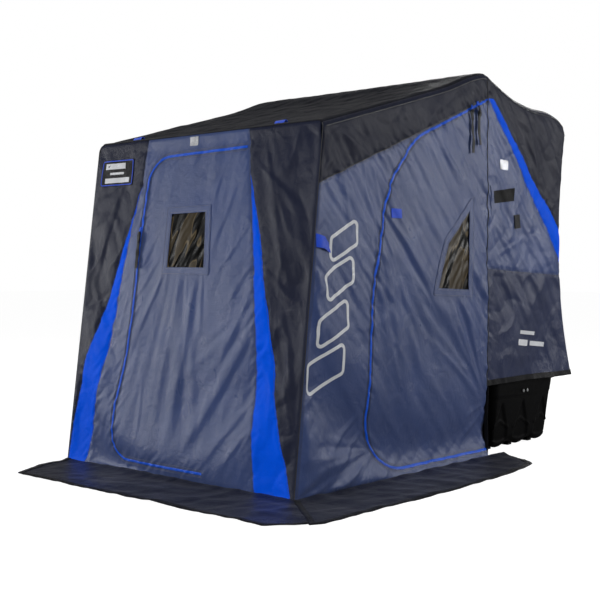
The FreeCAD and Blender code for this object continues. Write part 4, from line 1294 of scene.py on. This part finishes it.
def sled_tub():
    """A moulded tub: rolled rim, a ledge below it, tapered flutes, and keels along the bottom."""
    corner = [(SLED_X, -SLED_Y), (SLED_X, SLED_Y), (-SLED_X, SLED_Y), (-SLED_X, -SLED_Y)]
    rim_line = rounded([p + (SLED_CORNER,) for p in corner], 14)
    flat = np.array(divided(rim_line, 0.01, True))
    out = directions(flat, True)[1]
    draft = DRAFT_X * np.abs(out[:, 0]) + DRAFT_Y * np.abs(out[:, 1])
    rim = 0.01 * np.abs(out[:, 0]) + 0.015 * np.abs(out[:, 1])

    def lift(y):
        return KEEL_DEPTH * np.sin(math.pi * y / KEEL_PITCH) ** 2

    def ring(inset, z, shrink=1.0, relief=0.0):
        inset = inset + draft * (SLED_TOP - z) / (SLED_TOP - SLED_BOTTOM) + relief
        spot = (flat - out * np.broadcast_to(inset, draft.shape)[:, None]) * shrink
        low = 1 - smooth(z, SLED_BOTTOM + 0.01, SLED_BOTTOM + 0.075)
        return np.column_stack([spot, z + low * lift(spot[:, 1])])

    def flutes(z):
        """Arrow-shaped recesses pressed into the walls, and a step below the rim."""
        along = np.where(np.abs(out[:, 0]) > 0.7, flat[:, 1], flat[:, 0])
        from_middle = np.abs((along + KEEL_PITCH / 2) % KEEL_PITCH - KEEL_PITCH / 2)
        width = 0.078 - 0.45 * max(0.0, z - 0.11) - from_middle
        plain = (np.abs(out).max(1) > 0.98) & (out[:, 0] > -0.7)
        fade = smooth(z, 0.03, 0.06)
        chevron = np.exp(-((z - 0.165 + 0.55 * from_middle) / 0.007) ** 2) * (from_middle < 0.085)
        step = 0.003 * smooth(0.3 - z, 0, 0.01)
        return step + fade * plain * (0.007 * smooth(width, 0, 0.014) - 0.005 * chevron)

    floor = [ring(0.06, SLED_BOTTOM + SHELL, k) for k in (0.05, 0.3, 0.55, 0.75, 0.9)]
    inner = [ring(SHELL + d, z) for d, z in ((0.03, 0.021), (0.012, 0.025), (0.002, 0.036))]
    inner += [ring(SHELL + 0.007 * (z < 0.29), z) for z in (0.08, 0.16, 0.24, 0.31, 0.37)]
    over = ((SHELL, 0.3975), (0.0035, 0.4012), (-0.002, SLED_TOP), (-0.006, SLED_TOP))
    top = [ring(d, z) for d, z in over]
    edge = [(0.0025, 0.401), (0.0006, 0.3985), (0.0, 0.394), (0.0, 0.374), (0.0015, 0.37), (0.0035, 0.37),
            (0.005, 0.374), (0.005, 0.391)]
    lip = [ring(d - rim, z) for d, z in edge]
    heights = np.linspace(0.388, 0.05, 46)
    wall = [ring(0.0, float(z), relief=flutes(float(z))) for z in heights]
    under = ((0.005, 0.04), (0.008, 0.028), (0.014, 0.019), (0.024, 0.015), (0.045, 0.015))
    bottom = [ring(d, z) for d, z in under]
    belly = [ring(0.06, SLED_BOTTOM, k) for k in (0.97, 0.9, 0.75, 0.55, 0.3, 0.05)]
    points, faces = ring_mesh(floor + inner + top + lip + wall + bottom + belly)
    set_down(new_piece("sled_tub_shell", points, faces, SLED_PLASTIC, 38), "shelter", ["sled_tub"])


# --- seats --------------------------------------------------------------------------------
SEAT_X, SEAT_Y = 0.39, -0.01
CUSHION_LOW, CUSHION_HIGH = 0.4618, 0.529
BACK_AXIS = np.array([0.0, 0.225, 0.572])
BACK_LEAN = math.radians(5)


def swollen(rings, held, limit=0.012, voxel=0.006, frames=16):
    """A pad: the closed form through the rings, its cloth swollen by a pressure inside. (points, faces)"""
    pad = new_object("pad", *ring_mesh(rings))
    remesh = pad.modifiers.new("remesh", "REMESH")
    remesh.mode = "VOXEL"
    remesh.voxel_size = voxel * 1
    even = shown_mesh(pad)
    pad.modifiers.clear()
    pad.data = even
    start = mesh_points(even)
    modifier = pad.modifiers.new("cloth", "CLOTH")
    modifier.settings.use_pressure = True
    modifier.settings.uniform_pressure_force = 4.0
    modifier.settings.effector_weights.gravity = 0.0
    move = simulated(pad, modifier, held(start), frames) - start
    length = np.maximum(np.linalg.norm(move, axis=1), 1e-9)
    start = start + move * np.minimum(1, limit / length)[:, None]
    pad.modifiers.clear()
    even.vertices.foreach_set("co", start.astype(np.float32).ravel())
    pad.modifiers.new("finer", "SUBSURF").levels = 1
    finer = shown_mesh(pad)
    result = mesh_points(finer), [list(face.vertices) for face in finer.polygons]
    bpy.data.objects.remove(pad)
    return result


def tube_mesh(path, radius, pieces=8):
    """A round tube through a closed ring of points."""
    line = np.array(path, float)
    way = np.roll(line, -1, axis=0) - np.roll(line, 1, axis=0)
    way /= np.linalg.norm(way, axis=1)[:, None]
    middle = line - line.mean(0)
    side = middle - (middle * way).sum(1)[:, None] * way
    side /= np.linalg.norm(side, axis=1)[:, None]
    other = np.cross(way, side)
    edges = [line + radius * (math.cos(t) * side + math.sin(t) * other)
             for t in np.linspace(0, 2 * math.pi, pieces, endpoint=False)]
    return ring_mesh(np.stack(edges, 1), closed=True)


def piped(points, faces, ring, out):
    """A cord sewn round a pad: the pad's surface, found from outside at each point of the ring."""
    tree = BVHTree.FromPolygons([Vector(p) for p in points], faces)
    path = []
    for at, way in zip(ring, out):
        hit = tree.ray_cast(Vector(at + way * 0.06), Vector(-way))[0]
        path.append(tuple(hit) if hit else tuple(at))
    line = np.array(path)
    for _ in range(4):
        line = 0.5 * line + 0.25 * (np.roll(line, 1, axis=0) + np.roll(line, -1, axis=0))
    return tube_mesh(line, 0.0035)


def cushion_form():
    """A crowned seat cushion about the seat's own centre, with sides that pull in, channels and piping."""
    loop = rounded([(0.16, -0.187, 0.048), (0.16, 0.187, 0.03), (-0.16, 0.187, 0.03),
                    (-0.16, -0.187, 0.048)], 8)
    flat = np.array(divided(loop, 0.008, True))
    out = directions(flat, True)[1]
    waist = 0.005 * np.sin(math.pi * np.clip(np.abs(flat[:, 0]) / 0.16, 0, 1)) + 0.002
    levels = [(0.075, 0.0), (0.012, 0.0), (0.002, 0.006), (0.004, 0.02), (0.003, 0.034), (0.002, 0.044),
              (0.012, 0.054), (0.04, 0.0585), (0.1, 0.0605)]
    rings = []
    for inset, up in levels:
        spot = flat - out * np.minimum(inset, 0.045)[None] if inset < 0.045 else flat * (1 - inset / 0.16)
        spot = spot - out * (waist * math.sin(math.pi * up / 0.05))[:, None] if 0 < up < 0.05 else spot
        rings.append(np.column_stack([spot, np.full(len(spot), CUSHION_LOW + up)]))
    points, faces = swollen(rings, lambda p: p[:, 2] < CUSHION_LOW + 0.004)
    x, y, z = points.T
    above = smooth(z, CUSHION_LOW + 0.045, CUSHION_LOW + 0.06)
    for place in (-0.062, 0.062):
        z = z - 0.0075 * above * np.exp(-((y - place + 0.004 * np.cos(x * 9)) / 0.0065) ** 2)
    z = z - 0.004 * above * np.exp(-(np.hypot(x, y) / 0.1) ** 2)
    points = np.column_stack([x, y, np.clip(z, CUSHION_LOW, CUSHION_HIGH)])
    cords = []
    for up in (0.009, 0.048):
        ring = np.column_stack([flat, np.full(len(flat), CUSHION_LOW + up)])
        cords.append(piped(points, faces, ring, np.column_stack([out, np.zeros(len(out))])))
    return (points, faces), joined(cords)


def back_form():
    """A padded backrest about the seat's own centre, leaning on its hinge: two sewn channels and piping."""
    low, high = 0.556, 0.899
    loop = rounded([(0.163, low, 0.025), (0.163, high, 0.055), (-0.163, high, 0.055),
                    (-0.163, low, 0.025)], 8)
    flat = np.array(divided(loop, 0.008, True))
    out = directions(flat, True)[1]
    centre = np.array([0.0, (low + high) / 2])
    rings = []
    for shrink, depth in ((0.3, -0.018), (0.75, -0.018), (0.93, -0.016), (1.0, -0.008), (0.992, 0.0),
                          (1.0, 0.008), (0.93, 0.016), (0.75, 0.018), (0.3, 0.018)):
        spot = (flat - centre) * shrink + centre
        rings.append(np.column_stack([spot[:, 0], np.full(len(spot), BACK_AXIS[1] + depth), spot[:, 1]]))
    points, faces = swollen(rings, lambda p: p[:, 2] < low + 0.01, limit=0.007)
    x, y, z = points.T
    depth = y - BACK_AXIS[1]
    front = smooth(-depth, 0.004, 0.014)
    for place in (0.67, 0.785):
        depth = depth + 0.007 * front * np.exp(-((z - place + 0.005 * np.cos(x * 9)) / 0.0065) ** 2)
    points = np.column_stack([x, BACK_AXIS[1] + np.clip(depth, -0.0248, 0.0248), z])
    ring = np.column_stack([flat[:, 0], np.full(len(flat), BACK_AXIS[1] - 0.009), flat[:, 1]])
    cord = piped(points, faces, ring, np.column_stack([out[:, 0], np.zeros(len(out)), out[:, 1]]))
    turn = np.array(Matrix.Rotation(-BACK_LEAN, 3, "X"))
    leaned = [((part[0] - BACK_AXIS) @ turn.T + BACK_AXIS, part[1]) for part in ((points, faces), cord)]
    return leaned[0], leaned[1]


def seats():
    cushion, cushion_cord = cushion_form()
    back, back_cord = back_form()
    for side, x in (("left", -SEAT_X), ("right", SEAT_X)):
        shift = np.array([x, SEAT_Y, 0.0])
        parts = {"cushion": (cushion, cushion_cord, "seat_", 0.85),
                 "back": (back, back_cord, "seat_back_", 0.8)}
        for kind, (form, cord, body, fill) in parts.items():
            pad = new_piece(f"seat_{kind}_pad_{side}", form[0] + shift, form[1], SEAT_CLOTH)
            set_down(pad, body + side, [f"seat_{kind}_{side}"])
            welt = new_piece(f"seat_{kind}_piping_{side}", cord[0] + shift, cord[1], PIPING)
            set_down(welt, body + side)


# --- zip sliders and pulls ----------------------------------------------------------------
def on_wall(surface, relief, place, shape):
    """Puts points (across, along, height) down on a wall at place."""
    u, v = place[0] + shape[:, 0], place[1] + shape[:, 1]
    return surface(u, v, relief(u, v) + shape[:, 2])


def slider_shape():
    """A zip slider: a bevelled base with a waist, a bridge, and the ring that holds the pull."""
    loop = rounded([(0.0062, 0.013, 0.004), (-0.0062, 0.013, 0.004), (-0.0044, -0.002, 0.01),
                    (-0.0058, -0.014, 0.003), (0.0058, -0.014, 0.003), (0.0044, -0.002, 0.01)], 5)
    flat = np.array(divided(loop, 0.002, True))
    out = directions(flat, True)[1] * np.sign(signed_area(loop))
    base = ((0.0012, 0.0036), (0.0, 0.0044), (0.0, 0.0074), (0.001, 0.0086), (0.0024, 0.0088))
    rings = [np.column_stack([flat - out * inset, np.full(len(flat), up)]) for inset, up in base]
    arch = [(0.009 * math.cos(t), 0.0086 + 0.004 * math.sin(t)) for t in np.linspace(0, math.pi, 13)]
    square = [(-0.0016, -0.0008), (-0.0016, 0.0008), (0.0016, 0.0008), (0.0016, -0.0008)]
    bridge_rings = [np.array([(across, along, high + up) for across, up in square]) for along, high in arch]
    turns = np.linspace(0, 2 * math.pi, 20, endpoint=False)
    hoop = [(0.0058 * math.cos(t), -0.012 + 0.007 * math.sin(t), 0.0118) for t in turns]
    return joined([ring_mesh(rings), ring_mesh(bridge_rings), tube_mesh(hoop, 0.001)])


def pull_shape(length):
    """A webbing pull: a strap folded on itself, a ribbed grip, and a loose curl at its free end."""
    along = np.linspace(-0.012, -length, 70)
    sway = 0.003 * np.sin((along + 0.012) * 26) * smooth(-along, 0.05, 0.15)
    lean = 0.0022 * np.sin(along * 17)
    strap = []
    for lane, half in ((0.0, 0.0098), (0.0016, 0.0092)):
        corner = ((-half, 0.0), (-half, 0.0013), (half, 0.0013), (half, 0.0))
        rings = [np.array([(side + across, place, 0.0098 + lane + height + up) for across, up in corner])
                 for side, place, height in zip(lean, along, sway)]
        strap.append(ring_mesh(rings))
    places = np.linspace(-0.01, -0.068, 59)
    ribs = 0.0006 * (np.sin((places + 0.01) * 2 * math.pi / 0.0065) > 0)
    necks = 0.35 * np.exp(-((places + 0.01) / 0.006) ** 2) + 0.25 * np.exp(-((places + 0.068) / 0.005) ** 2)
    turns = np.linspace(0, 2 * math.pi, 16, endpoint=False)
    wide = np.sign(np.cos(turns)) * np.abs(np.cos(turns)) ** 0.6
    deep = np.sign(np.sin(turns)) * np.abs(np.sin(turns)) ** 0.7
    grip = []
    for place, rib, neck in zip(places, ribs, necks):
        across = (0.0117 + rib) * (1 - neck) * wide
        grip.append(np.column_stack([across, np.full(16, place), 0.012 + (0.0024 + rib) * deep]))
    return joined(strap), ring_mesh(grip)


def slider_and_pull(name, place, length, look, bodies, nodes=()):
    strap, grip = pull_shape(length)
    parts = {
        "_slider_body": (slider_shape(), ZIP_BLUE, bodies[0], nodes[:1]),
        "_strap": (strap, STRAP, bodies[1], nodes[1:]),
        "_grip": (grip, BLACK_PLASTIC, bodies[1], ()),
    }
    for part, ((points, faces), material, body, replaced) in parts.items():
        placed = on_wall(look["surface"], look["relief"], place, points)
        set_down(new_piece(name + part, placed, faces, material, 35), body, replaced)


def sliders():
    bodies = ("front_slider", "front_pull")
    slider_and_pull("front_zip", (-0.373, 1.202), 0.195, FRONT, bodies, bodies)
    for side, look in SIDES.items():
        bodies = ("side_slider_" + side, "side_pull_" + side)
        slider_and_pull("side_zip_" + side, (1.385, 1.838), 0.235, look, bodies, bodies)
        slider_and_pull("side_zip_upper_" + side, (1.452, 1.864), 0.215, look, bodies)


# --- camera, light and floor --------------------------------------------------------------
def put_up(name, data, place, turn):
    made = bpy.data.objects.new(name, data)
    made.location = place
    made.rotation_euler = turn
    bpy.context.scene.collection.objects.link(made)
    return made


def camera():
    data = bpy.data.cameras.new("camera")
    data.lens = 66.6
    data.sensor_width = 36.0
    turn = (math.radians(90 - 1.573), 0.0, math.radians(41.69))
    bpy.context.scene.camera = put_up("camera", data, (3.96, -5.517, 1.0), turn)


def area_light(name, place, target, size, power):
    data = bpy.data.lights.new(name, "AREA")
    data.shape = "RECTANGLE"
    data.size, data.size_y = size
    data.energy = power
    turn = (Vector(target) - Vector(place)).to_track_quat("-Z", "Y").to_euler()
    put_up(name, data, place, turn)


def studio():
    world = bpy.data.worlds.new("studio")
    bpy.context.scene.world = world
    world.use_nodes = True
    tree = world.node_tree
    background = tree.nodes["Background"]
    background.inputs["Color"].default_value = (1, 1, 1, 1)
    path = node(tree, "LightPath").outputs["Is Camera Ray"]
    tree.links.new(spread_value(tree, path, 0.0, 1.0, 0.1, 1.0), background.inputs["Strength"])
    area_light("key", (-6.3, -5.0, 1.7), (-0.1, -1.8, 0.7), (1.6, 2.4), 185)
    area_light("side", (5.2, 4.2, 2.5), (0.8, -0.9, 0.9), (1.5, 2.6), 230)
    area_light("front", (3.0, -8.0, 2.6), (0.6, -1.0, 0.7), (3.0, 3.0), 185)
    area_light("top", (0.5, -1.5, 6.0), (0, -0.8, 0), (5.0, 5.0), 80)
    area_light("back", (-2.0, 5.5, 3.5), (0, 0, 1), (3.0, 3.0), 150)
    points = np.array([(-40, -40, 0), (40, -40, 0), (40, 40, 0), (-40, 40, 0)], float)
    floor = new_piece("floor", points, [[0, 1, 2, 3]], floor_finish())
    scene = bpy.context.scene
    scene.view_settings.view_transform = "Standard"
    scene.view_settings.look = "None"


camera()
studio()
finish_carried()
front_wall()
label()
front_door()
for hand in ("right", "left"):
    side_wall(hand)
    side_door(hand)
    rear_side(hand)
    rear_trim(hand)
    loops(hand)
    wind_flap(hand)
    decals(hand)
roofs()
rear_wall()
skirts()
sled_tub()
seats()
sliders()
